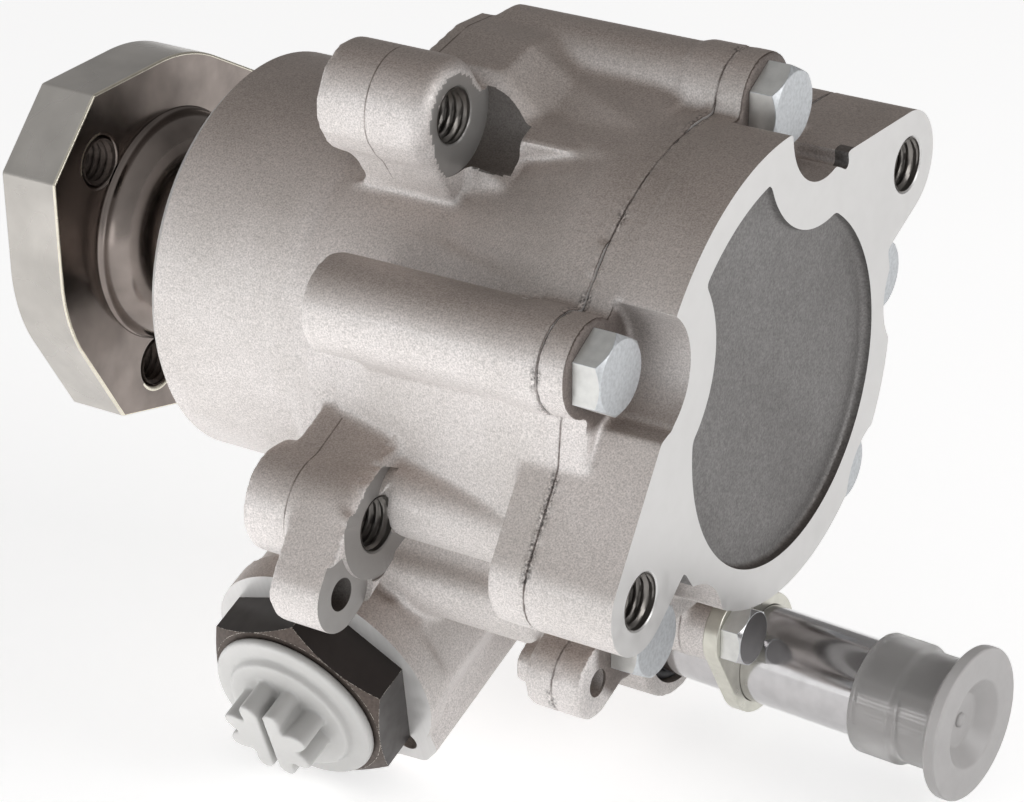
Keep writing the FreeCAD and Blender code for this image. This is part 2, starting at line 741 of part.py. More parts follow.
def make_valve_block():
    """The valve body across the bottom: a barrel, a stepped block beside it and a machined boss."""
    half = of("valve_block_half")
    cheek = of("valve_block_cheek")
    face = of("valve_boss_face")
    back = f"-{of('valve_block_back')}"
    flat = of("valve_block_flat")
    corners = [("0", half), (flat, of("valve_block_shoulder")), (cheek, of("valve_block_cheek_top")),
               (of("valve_block_nose"), f"-{of('valve_block_nose_drop')}"),
               (of("valve_block_step"), f"-{of('valve_block_step_drop')}"),
               (cheek, f"-{of('valve_block_heel_drop')}"), (flat, f"-{of('valve_block_toe_drop')}"),
               ("0", f"-{half}")]
    end = f"{face} - {of('valve_boss_step')}"
    block = slab("valve_block", corners, back, end)
    barrel = rod("valve_barrel", "0", f"{end} + {of('valve_block_back')}", of("valve_barrel_radius"))
    ring = rod("valve_boss", "0", of("valve_boss_width"), of("valve_boss_radius"))
    return [across_valve(block), lay_on_valve(barrel, back),
            lay_on_valve(ring, f"{face} - {of('valve_boss_width')}")]


def make_housing():
    """The housing casting with all its bores."""
    neck = rod("neck", NECK_FRONT, f"-{of('waist_front_x')}", of("neck_radius"))
    neck = rounded("neck_rounded", neck, of("neck_chamfer"))
    core = turned("housing_core", [
        (f"-{of('neck_back_x')}", "0"),
        (f"-{of('neck_back_x')}", f"{of('waist_radius')} - 2"),
        (f"-{of('waist_front_x')}", of("waist_radius")),
        (f"-{of('waist_back_x')}", of("waist_radius")),
        (FLANGE, DRUM_RADIUS),
        (JOINT, DRUM_RADIUS),
        (JOINT, "0"),
    ])
    bind(core, Placement__Base__y=of("cast_y"), Placement__Base__z=of("cast_z"))
    flange = joined("housing_flange", rim("flange", FLANGE, JOINT))
    suction_end = f"{SUCTION_FACE} - {of('suction_boss_depth')}"
    suction = [
        boss("suction_boss", SUCTION, suction_end, SUCTION_SEAT),
        boss("suction_bolt_boss_bar", SUCTION_BOLT, suction_end, SUCTION_FACE),
        strap("suction_web", SUCTION, SUCTION_BOLT, suction_end, SUCTION_SEAT),
        strap("suction_root", SUCTION, (f"{of('suction_y')} * {of('suction_root_share')}",
                                        f"{of('suction_z')} * {of('suction_root_share')}",
                                        of("suction_root")), suction_end, SUCTION_SEAT),
    ]
    cast = joined("housing_cast", [core, neck, flange, *make_ridges(), *make_front_ears(),
                                   *make_valve_block(), *suction])

    bores = [
        rod("cartridge_bore", CHAMBER_END, JOINT, of("cartridge_radius")),
        rod("web_hole", SEAL_BACK, CHAMBER_END, of("web_bore")),
        rod("seal_hole", SEAL_FRONT, SEAL_BACK, of("seal_radius")),
        rod("step_hole", BEARING_BACK, SEAL_FRONT, of("step_bore")),
        rod("bearing_hole", NECK_FRONT, BEARING_BACK, of("bearing_radius")),
        rod("clip_hole", CLIP_FRONT, BEARING_FRONT, f"{of('bearing_radius')} + {of('clip_groove_depth')}"),
        *pin_holes("housing", f"{CHAMBER_END} - {of('pin_end_depth')}", CHAMBER_END),
    ]
    valve_holes = [
        lay_on_valve(rod("valve_hole", "0", f"{of('valve_boss_face')} + {of('valve_blind')}",
                         of("valve_bore")), f"-{of('valve_blind')}"),
        lay_on_valve(rod("union_hole", "0", of("union_shank_length"), of("union_shank_radius")),
                     f"{of('valve_boss_face')} - {of('union_shank_length')}"),
    ]
    ring_groove = lay_on_valve(torus("union_ring_groove", "0", UNION_RING,
                                     of("union_ring_wire")), of("valve_boss_face"))
    gallery = lay_on_valve(rod("gallery_hole", "0", of("gallery_depth"), of("gallery_plug_radius")),
                           f"{of('valve_boss_face')} - {of('gallery_depth')}", of("gallery_plug_x"),
                           f"-{of('gallery_plug_height')}")

    threads = []
    for name, (y, z, _), face, spot, reach in (
            ("ear_c", EAR_C, EARS_FRONT, "spot_face_radius", "spot_face_reach"),
            ("ear_d", EAR_D, LOWER_EAR, "lower_spot_radius", "lower_spot_reach")):
        threads.append(rod(name + "_spot_face", face, f"{face} + {of(reach)}", of(spot), y, z))
        threads.append(rod(name + "_thread", f"{face} - {of('front_ear_length')}", face,
                           of("ear_hole_radius"), y, z))
        threads.append(cone(name + "_mouth", f"{face} - {of('ear_chamfer')}", face,
                            of("ear_hole_radius"), f"{of('ear_hole_radius')} + {of('ear_chamfer')}", y, z))
    threads.append(rod("lug_e_hole", f"{LOWER_EAR} - {of('lug_e_length')}", LOWER_EAR,
                       of("lug_e_hole_radius"), LUG_E[0], LUG_E[1]))
    threads.append(rod("lug_f_hole", FLANGE, JOINT, of("lug_f_hole_radius"), LUG_F[0], LUG_F[1]))
    bolt_end = f"{LEDGE} - {of('bolt_length')}"
    threads += [rod(f"bolt_thread_{index + 1}", bolt_end, JOINT, of("bolt_radius"), y, z)
                for index, (y, z) in enumerate(BOLTS)]

    ring_room = f"2.2 * {of('tube_ring_wire')}"
    suction_holes = [
        along_tube(rod_along("suction_hole", f"{SEAT_SLIDE} - {of('suction_bore_depth')}", "0",
                             of("tube_radius"))),
        along_tube(rod_along("suction_ring_room", f"{SEAT_SLIDE} - 1.5 * {ring_room}",
                             f"{SEAT_SLIDE} + {of('suction_plate_width')}",
                             f"{of('tube_radius')} + {ring_room}")),
        rod("suction_bolt_thread", f"{PLATE_FACE} - {of('suction_bolt_length')}", SUCTION_FACE,
            of("suction_bolt_radius"), SUCTION_BOLT[0], SUCTION_BOLT[1]),
    ]
    suction_gallery = doc.addObject("Part::Cylinder", "suction_gallery")
    bind(suction_gallery, Radius=of("suction_gallery_radius"),
         Height=f"-({of('suction_z')}) - {of('cartridge_radius')} + 5",
         Placement__Base__x=f"{SUCTION_SEAT} - {of('suction_bore_depth')} + {of('suction_gallery_radius')}",
         Placement__Base__y=SUCTION[0], Placement__Base__z=SUCTION[1])
    return less("housing", cast, bores, [gallery], valve_holes, [ring_groove], threads, suction_holes,
                [suction_gallery])


def bolt(name, face, length, radius, flats, head, y, z):
    """A hexagon bolt whose head stands on a face and whose thread goes towards -X."""
    block = hexagon(name + "_hexagon", face, f"{face} + {head}", flats, y, z)
    crown = cone(name + "_crown", face, f"{face} + {head}",
                 f"{flats} * {of('head_crown_top')} + {head} * {of('head_crown_slope')}",
                 f"{flats} * {of('head_crown_top')}", y, z)
    top = shared(name + "_head", [block, crown])
    shank = rod(name + "_shank", f"{face} - {length}", face, radius, y, z)
    return joined(name, [top, shank])


def make_cartridge():
    """Cam ring, rotor, vanes, plates, pins and rings of the pumping group."""
    made = []
    ring = doc.addObject("PartDesign::Body", "cam_ring")
    outline = sketch_on(ring, "YZ_Plane", "cam_ring_outline", RING_FRONT)
    circle(outline, RING_RADIUS)
    for y, z in pin_spots():
        circle(outline, of("pin_radius"), y, z)
    track = outline.addGeometry(Part.Ellipse(FreeCAD.Vector(), number(of("cam_major")),
                                             number(of("cam_minor"))))
    outline.exposeInternalGeometry(track)
    outline.addConstraint(Sketcher.Constraint("Coincident", track, 3, -1, 1))
    outline.addConstraint(Sketcher.Constraint("Horizontal", track + 1))
    for line, size in ((track + 1, "cam_major"), (track + 2, "cam_minor")):
        index = outline.addConstraint(Sketcher.Constraint("Distance", line, 2 * number(of(size))))
        outline.setExpression(f"Constraints[{index}]", f"2 * {of(size)}")
    pad(ring, outline, of("ring_width"), "cam_ring_pad")
    made.append(ring)

    rotor = doc.addObject("PartDesign::Body", "rotor")
    outline = sketch_on(rotor, "YZ_Plane", "rotor_outline", f"{RING_FRONT} + {of('rotor_end_gap')}")
    circle(outline, of("rotor_radius"))
    circle(outline, of("rotor_bore"))
    blank = pad(rotor, outline, f"{of('ring_width')} - 2 * {of('rotor_end_gap')}", "rotor_pad")
    doc.recompute()
    slot = sketch_on(rotor, "YZ_Plane", "slot_outline", f"{RING_FRONT} + {of('rotor_end_gap')}")
    half = f"({of('vane_thickness')} / 2 + {of('vane_side_gap')})"
    foot = f"({of('rotor_radius')} - {of('vane_height')} - 0.3)"
    angle = of("vane_first_angle")
    corners = [(foot, half), (f"{of('rotor_radius')} + 1", half), (f"{of('rotor_radius')} + 1", f"-{half}"),
               (foot, f"-{half}")]
    closed(slot, [(f"({a}) * cos({angle}) - ({b}) * sin({angle})",
                   f"({a}) * sin({angle}) + ({b}) * cos({angle})") for a, b in corners])
    cut = rotor.newObject("PartDesign::Pocket", "slot_cut")
    cut.Profile = slot
    cut.Reversed = True
    bind(cut, Length=of("ring_width"))
    rotor.Tip = cut
    repeat = rotor.newObject("PartDesign::PolarPattern", "slot_pattern")
    repeat.Originals = [cut]
    repeat.Axis = (outline, ["N_Axis"])
    repeat.Angle = 360
    bind(repeat, Occurrences=of("vane_count"))
    rotor.Tip = repeat
    made.append(rotor)

    for index in range(int(number(of("vane_count")))):
        vane = doc.addObject("Part::Box", f"vane_{index + 1:02d}")
        turn = f"({of('vane_first_angle')} + {index} * 360 / {of('vane_count')})"
        inner = f"({of('rotor_radius')} - {of('vane_height')})"
        side = f"{of('vane_thickness')} / 2"
        vane.Placement = FreeCAD.Placement(FreeCAD.Vector(), FreeCAD.Rotation(FreeCAD.Vector(1, 0, 0), 1))
        bind(vane, Length=f"{of('ring_width')} - 2 * {of('rotor_end_gap')}",
             Width=f"{of('vane_height')} - 0.1", Height=of("vane_thickness"),
             Placement__Rotation__Angle=turn,
             Placement__Base__x=f"{RING_FRONT} + {of('rotor_end_gap')}",
             Placement__Base__y=f"{inner} * cos({turn}) + {side} * sin({turn})",
             Placement__Base__z=f"{inner} * sin({turn}) - {side} * cos({turn})")
        made.append(vane)

    plate = sleeve("rear_plate_blank", RING_BACK, JOINT, of("rear_plate_bore"), RING_RADIUS)
    made.append(less("rear_plate", plate, pin_holes("rear_plate", RING_BACK, JOINT)
                     + ports("rear", 0, RING_BACK, JOINT)))
    groove = f"({of('cartridge_radius')} - {of('plate_groove_depth')})"
    half_groove = f"{of('plate_groove_width')} / 2"
    middle = f"({RING_FRONT} + ({PLATE_FRONT})) / 2"
    blank = turned("pressure_plate_blank", [
        (PLATE_FRONT, of("pressure_plate_bore")), (PLATE_FRONT, f"{of('cartridge_radius')} - 0.1"),
        (f"{middle} - {half_groove}", f"{of('cartridge_radius')} - 0.1"),
        (f"{middle} - {half_groove}", groove),
        (f"{middle} + {half_groove}", groove),
        (f"{middle} + {half_groove}", f"{of('cartridge_radius')} - 0.1"),
        (RING_FRONT, f"{of('cartridge_radius')} - 0.1"), (RING_FRONT, of("pressure_plate_bore"))])
    made.append(less("pressure_plate", blank, pin_holes("pressure_plate", PLATE_FRONT, RING_FRONT)
                     + ports("front", 90, PLATE_FRONT, RING_FRONT)))
    wire = f"({of('cartridge_radius')} - ({groove})) / 2"
    made.append(torus("plate_o_ring", middle, f"({of('cartridge_radius')} + {groove}) / 2", wire))
    made.append(torus("cover_o_ring", f"{JOINT} + {of('cover_ring_wire')}", COVER_RING,
                      of("cover_ring_wire")))
    spring = SPRING_RADIUS
    top = f"({spring} - {of('plate_spring_reach')})"
    thick = of("plate_spring_thickness")
    made.append(turned("plate_spring", [
        (CHAMBER_END, spring), (f"{CHAMBER_END} + {thick}", spring),
        (PLATE_FRONT, top), (PLATE_FRONT, f"{top} - {thick}"),
        (f"{PLATE_FRONT} - {thick}", f"{top} - {thick}"), (CHAMBER_END, f"{spring} - {thick}")]))
    pins = [rod(f"locating_pin_{index + 1}", f"{CHAMBER_END} - {of('pin_end_depth')}",
                f"{JOINT} + {of('pin_end_depth')}", of("pin_radius"), y, z)
            for index, (y, z) in enumerate(pin_spots())]
    made.append(group("locating_pins", pins))
    return made


def ports(name, angle, start, end):
    """Two opposite oil ports through a side plate."""
    spots = [polar(of("port_circle_radius"), f"({angle} + {turn})") for turn in (0, 180)]
    return [rod(f"{name}_port_{index + 1}", start, end, of("port_radius"), y, z)
            for index, (y, z) in enumerate(spots)]


def make_shaft_group():
    """Shaft, its circlip, bush, seal and ball bearing."""
    groove = f"{of('journal_radius')} - {of('circlip_groove')}"
    clip_back = f"{RING_BACK} + {of('rotor_end_gap')} + {of('circlip_width')}"
    clip_front = f"{RING_BACK} + {of('rotor_end_gap')}"
    shaft = turned("drive_shaft", [
        (SHAFT_FRONT, "0"), (SHAFT_FRONT, f"{of('hub_shaft_radius')} - 0.8"),
        (f"{SHAFT_FRONT} + 0.8", of("hub_shaft_radius")),
        (BEARING_FRONT, of("hub_shaft_radius")), (BEARING_FRONT, of("bearing_bore")),
        (BEARING_BACK, of("bearing_bore")), (BEARING_BACK, of("collar_radius")),
        (f"{BEARING_BACK} + {of('collar_width')}", of("collar_radius")),
        (f"{BEARING_BACK} + {of('collar_width')}", of("bearing_bore")),
        (SEAL_BACK, of("bearing_bore")), (SEAL_BACK, of("main_radius")),
        (f"{RING_FRONT} + {of('rotor_end_gap')}", of("main_radius")),
        (f"{RING_FRONT} + {of('rotor_end_gap')}", of("rotor_bore")),
        (f"{RING_BACK} - {of('rotor_end_gap')}", of("rotor_bore")),
        (f"{RING_BACK} - {of('rotor_end_gap')}", of("journal_radius")),
        (clip_front, of("journal_radius")), (clip_front, groove), (clip_back, groove),
        (clip_back, of("journal_radius")),
        (f"{BUSH_END} - {of('shaft_end_gap')}", of("journal_radius")),
        (f"{BUSH_END} - {of('shaft_end_gap')}", "0")])
    inner = sleeve("inner_ring_blank", BEARING_FRONT, BEARING_BACK, of("bearing_bore"),
                   of("inner_ring_radius"))
    outer = sleeve("outer_ring_blank", BEARING_FRONT, BEARING_BACK, of("outer_ring_bore"),
                   of("bearing_radius"))
    centre = f"({BEARING_FRONT} + {BEARING_BACK}) / 2"
    track = f"{of('ball_radius')} + {of('ball_gap')}"
    cage_half = f"{of('cage_width')} / 2"
    blank = sleeve("cage_blank", f"{centre} - {cage_half}", f"{centre} + {cage_half}",
                   f"{of('ball_circle_radius')} - {of('cage_wall')}",
                   f"{of('ball_circle_radius')} + {of('cage_wall')}")
    balls = []
    rooms = []
    for index in range(int(number(of("ball_count")))):
        y, z = polar(of("ball_circle_radius"), f"({index} * 360 / {of('ball_count')})")
        for shapes, radius, kind in ((balls, of("ball_radius"), "ball"), (rooms, track, "ball_room")):
            ball = doc.addObject("Part::Sphere", f"{kind}_{index + 1}")
            shapes.append(bind(ball, Radius=radius, Placement__Base__x=centre, Placement__Base__y=y,
                               Placement__Base__z=z))
    seal_lip = f"{of('bearing_bore')} + {of('running_gap')}"
    wall = of("seal_wall")
    seal = turned("shaft_seal", [
        (SEAL_FRONT, f"{seal_lip} + {wall}"), (SEAL_FRONT, of("seal_radius")),
        (SEAL_BACK, of("seal_radius")), (SEAL_BACK, f"{of('seal_radius')} - {wall}"),
        (f"{SEAL_FRONT} + {wall}", f"{of('seal_radius')} - {wall}"),
        (f"{SEAL_FRONT} + {wall}", f"{seal_lip} + 1.5 * {wall}"),
        (f"{SEAL_BACK} - {wall}", f"{seal_lip} + {wall}"),
        (f"{SEAL_BACK} - {wall}", seal_lip)])
    clip_out = f"{of('bearing_radius')} + {of('clip_groove_depth')}"
    clip_ring = sleeve("clip_ring", CLIP_FRONT, BEARING_FRONT, of("clip_bore"), clip_out)
    half = of("clip_gap_half")

    def opening(name, reach, start, end):
        """The gap at the top of a circlip."""
        top = f"{reach} + 1"
        return slab(name, [(f"-{half}", "0"), (half, "0"), (half, top), (f"-{half}", top)],
                    start, end)

    gap = opening("clip_gap", clip_out, CLIP_FRONT, BEARING_FRONT)
    small_ring = sleeve("small_clip_ring", clip_front, clip_back, groove, of("rotor_circlip_radius"))
    small_gap = opening("small_clip_gap", of("rotor_circlip_radius"), clip_front, clip_back)
    return [
        shaft,
        less("bearing_inner_ring", inner, [torus("inner_track", centre, of("ball_circle_radius"), track)]),
        less("bearing_outer_ring", outer, [torus("outer_track", centre, of("ball_circle_radius"), track)]),
        less("bearing_cage", blank, rooms),
        group("bearing_balls", balls),
        less("bearing_circlip", clip_ring, [gap]),
        less("rotor_circlip", small_ring, [small_gap]),
        seal,
        sleeve("rear_bush", JOINT, f"{BUSH_END} - {of('shaft_end_gap')}",
               f"{of('journal_radius')} + {of('running_gap')}", of("bush_radius")),
    ]


def make_hub():
    """The pulley hub: a three-cornered flange with threaded holes on a turned sleeve."""
    body = turned("hub_turning", [
        (HUB_FRONT, of("hub_radius")), (HUB_BACK, of("hub_radius")),
        (HUB_BACK, f"{of('hub_collar_radius')} - {of('hub_collar_round')}"),
        (f"{HUB_BACK} + {of('hub_collar_round')}", of("hub_collar_radius")),
        (f"{HUB_BACK} + {of('hub_collar_length')} - {of('hub_collar_round')}", of("hub_collar_radius")),
        (f"{HUB_BACK} + {of('hub_collar_length')}", of("hub_sleeve_radius")),
        (f"{HUB_BACK} + {of('hub_collar_length')} + {of('hub_sleeve_length')}", of("hub_sleeve_radius")),
        (f"{HUB_BACK} + {of('hub_collar_length')} + {of('hub_sleeve_length')}", of("hub_nose_radius")),
        (BEARING_FRONT, of("hub_nose_radius")), (BEARING_FRONT, of("hub_shaft_radius")),
        (SHAFT_FRONT, of("hub_shaft_radius")), (HUB_FRONT, of("hub_mouth_radius"))])
    dist = of("hub_chord_distance")
    half = of("hub_chord_half")
    reach = f"hypot({dist}; {half})"
    spread = f"atan({half} / {dist}) + acos({of('hub_radius')} / {reach})"
    corners = [(dist, half), (f"{of('hub_radius')} * cos({spread})", f"{of('hub_radius')} * sin({spread})"),
               (f"{of('hub_radius')} * cos({spread})", f"-{of('hub_radius')} * sin({spread})"),
               (dist, f"-{half}")]
    parts = [body]
    holes = []
    for index in range(3):
        angle = f"({of('hub_hole_angle')} + {index * 120})"
        horn = slab(f"hub_horn_{index + 1}", corners, HUB_FRONT, HUB_BACK)
        horn.Placement = FreeCAD.Placement(FreeCAD.Vector(), FreeCAD.Rotation(FreeCAD.Vector(1, 0, 0), 1))
        parts.append(bind(horn, Placement__Rotation__Angle=angle))
        y, z = polar(of("hub_hole_circle"), angle)
        holes.append(rod(f"hub_hole_{index + 1}", HUB_FRONT, HUB_BACK, of("hub_hole_radius"), y, z))
        mouth = f"{of('hub_hole_radius')} + {of('hub_chamfer')}"
        holes.append(cone(f"hub_mouth_{index + 1}", f"{HUB_BACK} - {of('hub_chamfer')}", HUB_BACK,
                          of("hub_hole_radius"), mouth, y, z))
        holes.append(cone(f"hub_front_mouth_{index + 1}", HUB_FRONT, f"{HUB_FRONT} + {of('hub_chamfer')}",
                          mouth, of("hub_hole_radius"), y, z))
    holes.append(rod("hub_bore", HUB_FRONT, BEARING_FRONT, of("hub_shaft_radius")))
    holes.append(cone("hub_bore_mouth", HUB_FRONT, SHAFT_FRONT, of("hub_mouth_radius"),
                      of("hub_shaft_radius")))
    return less("pulley_hub", joined("hub_whole", parts), holes)


def make_valve_group():
    """Union, transit plug, spool, spring, ring and ball plug on the valve axis."""
    face = of("valve_boss_face")
    front = f"{face} + {of('union_height')}"
    hexagonal = doc.addObject("Part::Prism", "union_hexagon")
    hexagonal.Polygon = 6
    bind(hexagonal, Circumradius=f"{of('union_flats')} / 2 / cos(30)", Height=of("union_height"))
    upright = group("union_hexagon_turned", [hexagonal])
    bind(hexagonal, Placement__Rotation__Angle=of("union_turn"))
    lay_on_valve(upright, face)
    crown = across_valve(turned("union_crown", [
        (face, "0"), (face, of("union_crown_foot")),
        (f"{front} - {of('union_chamfer')}", of("union_crown_rim")),
        (front, f"{of('union_flats')} / 2"), (front, "0")]))
    shank = lay_on_valve(rod("union_shank", "0", of("union_shank_length"), of("union_shank_radius")),
                         f"{face} - {of('union_shank_length')}")
    bore = lay_on_valve(rod("union_bore_tool", "0", f"{of('union_shank_length')} + {of('union_height')}",
                            of("union_bore")), f"{face} - {of('union_shank_length')}")
    groove = lay_on_valve(torus("union_groove", "0", UNION_RING,
                                of("union_ring_wire")), face)
    union = less("pressure_union", joined("union_solid", [shared("union_head", [upright, crown]), shank]),
                 [bore, groove])
    ring = lay_on_valve(torus("union_seal_ring", "0", UNION_RING,
                              of("union_ring_wire")), face)

    disc_end = f"{front} + {of('plug_disc_width')}"
    rim_end = f"{disc_end} + {of('plug_rim_width')}"
    parts = [across_valve(turned("plug_disc", [
        (f"{front} - {of('plug_stem_length')}", "0"),
        (f"{front} - {of('plug_stem_length')}", of("plug_stem_radius")),
        (front, of("plug_stem_radius")), (front, of("plug_disc_radius")),
        (disc_end, of("plug_disc_radius")), (disc_end, of("plug_rim_radius")),
        (rim_end, of("plug_rim_radius")), (rim_end, "0")]))]
    count = int(number(of("grip_lobe_count")))
    for index in range(count):
        across = f"({of('grip_radius')} * ({index} - {(count - 1) / 2}) / {count / 2})"
        side = 1 if index % 2 else -1
        parts.append(across_valve(turned(f"grip_lobe_{index + 1}", [
            (disc_end, "0"), (disc_end, of("grip_lobe_radius")),
            (f"{disc_end} + {of('grip_length')} - 1.2", of("grip_lobe_radius")),
            (f"{disc_end} + {of('grip_length')}", f"{of('grip_lobe_radius')} - 1.2"),
            (f"{disc_end} + {of('grip_length')}", "0")]),
            across, f"({side} * ({of('grip_slot')} / 2 + {of('grip_lobe_radius')} * 0.5))"))
    plug = joined("port_plug", parts)

    start = of("spool_start")
    end = f"({start} + {of('spool_length')})"
    radius = f"{of('valve_bore')} - {of('spool_gap')}"
    low = f"{radius} - {of('spool_groove_depth')}"
    corners = [(start, of("spool_seat_radius")), (start, radius)]
    for share in (0.3, 0.6):
        middle = f"({start} + {share} * {of('spool_length')})"
        half = f"{of('spool_groove_width')} / 2"
        corners += [(f"{middle} - {half}", radius), (f"{middle} - {half}", low),
                    (f"{middle} + {half}", low), (f"{middle} + {half}", radius)]
    corners += [(end, radius), (end, "0"), (f"{start} + {of('spool_seat_depth')}", "0"),
                (f"{start} + {of('spool_seat_depth')}", of("spool_seat_radius"))]
    spool = across_valve(turned("valve_spool", corners))

    coil = doc.addObject("Part::Helix", "spring_line")
    room = f"{start} + {of('spool_seat_depth')} + {of('valve_blind')} - 2 * {of('spring_wire')}"
    bind(coil, Radius=of("spring_radius"), Height=room, Pitch=f"({room}) / {of('spring_turns')}")
    section = doc.addObject("Part::Circle", "spring_section")
    section.Placement = FreeCAD.Placement(FreeCAD.Vector(), FreeCAD.Rotation(FreeCAD.Vector(1, 0, 0), 90))
    bind(section, Radius=of("spring_wire"), Placement__Base__x=of("spring_radius"))
    spring = doc.addObject("Part::Sweep", "valve_spring")
    spring.Sections = [section]
    spring.Spine = (coil, [])
    spring.Solid = True
    spring.Frenet = True
    lay_on_valve(spring, f"{of('spring_wire')} - {of('valve_blind')}")

    ball = doc.addObject("Part::Sphere", "gallery_plug")
    bind(ball, Radius=of("gallery_plug_radius"))
    on_valve(ball, f"{face} - {of('valve_boss_step')} - {of('gallery_plug_radius')} * 1.2",
             of("gallery_plug_x"), f"-{of('gallery_plug_height')}")
    return [union, ring, plug, spool, spring, ball]


def make_suction_group():
    """Tube, plate, ring, bolt and transit cap of the suction port."""
    y, z, _ = SUCTION
    outer = of("tube_radius")
    inner = f"({of('tube_radius')} - {of('tube_wall')})"
    back = f"{SEAT_SLIDE} - {of('tube_spigot')}"
    bar = along_tube(rod_along("tube_bar", back, of("tube_reach"), outer))
    bore = along_tube(rod_along("tube_bore", back, of("tube_reach"), inner))
    tube = less("suction_tube", bar, [bore])

    eye = (y, z, of("suction_plate_eye"))
    tab = (SUCTION_BOLT[0], SUCTION_BOLT[1], of("suction_plate_tab"))
    blank = joined("plate_blank", [boss("plate_eye", eye, PLATE_START, PLATE_FACE),
                                   boss("plate_tab", tab, PLATE_START, PLATE_FACE),
                                   strap("plate_web", eye, tab, PLATE_START, PLATE_FACE)])
    plate = less("suction_flange", blank, [
        along_tube(rod_along("plate_tube_hole", f"-2 * {of('suction_plate_width')}",
                             of("suction_plate_width"), outer)),
        rod("plate_bolt_hole", PLATE_START, PLATE_FACE, f"{of('suction_bolt_radius')} + 0.2",
            tab[0], tab[1])])
    ring = along_tube(round_ring("suction_o_ring",
                                 f"{SEAT_SLIDE} - 2 * {of('tube_ring_wire')}",
                                 f"{outer} + {of('tube_ring_wire')}", of("tube_ring_wire")))
    screw = bolt("suction_bolt", PLATE_FACE, of("suction_bolt_length"), of("suction_bolt_radius"),
                 of("suction_bolt_flats"), of("suction_bolt_head"), tab[0], tab[1])
    start = of("cap_start")
    ring_end = f"{start} + {of('cap_ring_length')}"
    reach = of("tube_reach")
    disc_end = f"{reach} + {of('cap_disc_width')}"
    dish = f"{disc_end} - {of('cap_dish_depth')}"
    cap = along_tube(turned("suction_cap", [
        (start, outer), (start, of("cap_ring_radius")), (ring_end, of("cap_ring_radius")),
        (f"{ring_end} + 1", of("cap_waist_radius")), (f"{reach} - 2", of("cap_waist_radius")),
        (reach, of("cap_disc_radius")), (disc_end, of("cap_disc_radius")),
        (disc_end, of("cap_dish_radius")), (dish, f"{of('cap_dish_radius')} * 0.6"), (dish, "0"),
        (f"{dish} - {of('cap_wall')}", "0"), (f"{dish} - {of('cap_wall')}", f"{inner} - {of('cap_wall')}"),
        (reach, f"{inner} - {of('cap_wall')}"), (reach, outer)]))
    return [tube, plate, ring, screw, cap]


def rod_along(name, start, end, radius):
    """A round bar made as a turned body, ready to be swung."""
    return turned(name, [(start, "0"), (start, radius), (end, radius), (end, "0")])


parts = [make_housing(), make_cover(), make_hub()]
bolts = [bolt(f"cover_bolt_{index + 1}", LEDGE, of("bolt_length"), of("bolt_radius"),
              of("bolt_head_flats"), of("bolt_head_height"), y, z) for index, (y, z) in enumerate(BOLTS)]
parts.append(group("cover_bolts", bolts))
parts += make_cartridge() + make_shaft_group() + make_valve_group() + make_suction_group()
doc.recompute()

for item in doc.Objects:
    if "Invalid" in item.State or "Error" in item.State:
        raise RuntimeError(f"{item.Name}: {item.State}")
os.makedirs("parts", exist_ok=True)
for part in parts:
    part.Label = part.Name
    if part.Shape.isNull() or not part.Shape.isValid():
        raise RuntimeError(f"{part.Label} has no valid shape")
for part in parts:
    part.Shape.exportStep(f"parts/{part.Label}.step")
    print(f"{part.Label}: {len(part.Shape.Solids)} solids, {part.Shape.Volume / 1000:.2f} cm3")
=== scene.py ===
import math

import bmesh
import bpy
from mathutils import Matrix, Vector, noise


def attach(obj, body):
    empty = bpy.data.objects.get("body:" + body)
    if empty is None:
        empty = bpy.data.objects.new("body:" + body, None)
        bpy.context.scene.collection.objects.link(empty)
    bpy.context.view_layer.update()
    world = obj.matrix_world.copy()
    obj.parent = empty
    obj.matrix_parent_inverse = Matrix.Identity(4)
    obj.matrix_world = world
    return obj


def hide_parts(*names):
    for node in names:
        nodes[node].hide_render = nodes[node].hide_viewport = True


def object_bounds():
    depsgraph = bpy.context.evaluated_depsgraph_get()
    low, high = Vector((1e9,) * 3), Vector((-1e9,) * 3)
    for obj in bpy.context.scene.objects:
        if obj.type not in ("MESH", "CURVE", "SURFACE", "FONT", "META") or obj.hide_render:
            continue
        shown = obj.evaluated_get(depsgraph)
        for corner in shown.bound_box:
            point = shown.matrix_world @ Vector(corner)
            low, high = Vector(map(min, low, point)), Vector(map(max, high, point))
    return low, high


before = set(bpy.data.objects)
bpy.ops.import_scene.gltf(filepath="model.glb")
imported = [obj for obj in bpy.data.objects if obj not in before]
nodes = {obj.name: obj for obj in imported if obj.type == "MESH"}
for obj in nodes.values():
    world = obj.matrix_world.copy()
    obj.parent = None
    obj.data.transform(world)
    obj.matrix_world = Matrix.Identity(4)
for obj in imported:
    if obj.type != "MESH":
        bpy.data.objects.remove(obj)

MM = 0.001
cad_low, cad_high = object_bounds()
scene = bpy.context.scene
scene.view_settings.view_transform = "Standard"

# Places shared with the part's source, in millimetres.
FACE, JOINT, FLANGE, LEDGE, RECESS = 0.0, -17.0, -24.3, -11.5, -1.8
NECK_FRONT, HUB_BACK, HUB_FRONT = -110.5, -134.0, -146.5
UPPER_EAR, LOWER_EAR, SUCTION_FACE = -53.5, -52.3, -12.0
DRUM, RIDGE, SPOT_RADIUS = 46.4, 8.7, 10.6
MIDDLE = (-1.0, -1.7)


def around(centre, radius, angle):
    turn = math.radians(angle)
    return centre[0] + radius * math.cos(turn), centre[1] + radius * math.sin(turn)


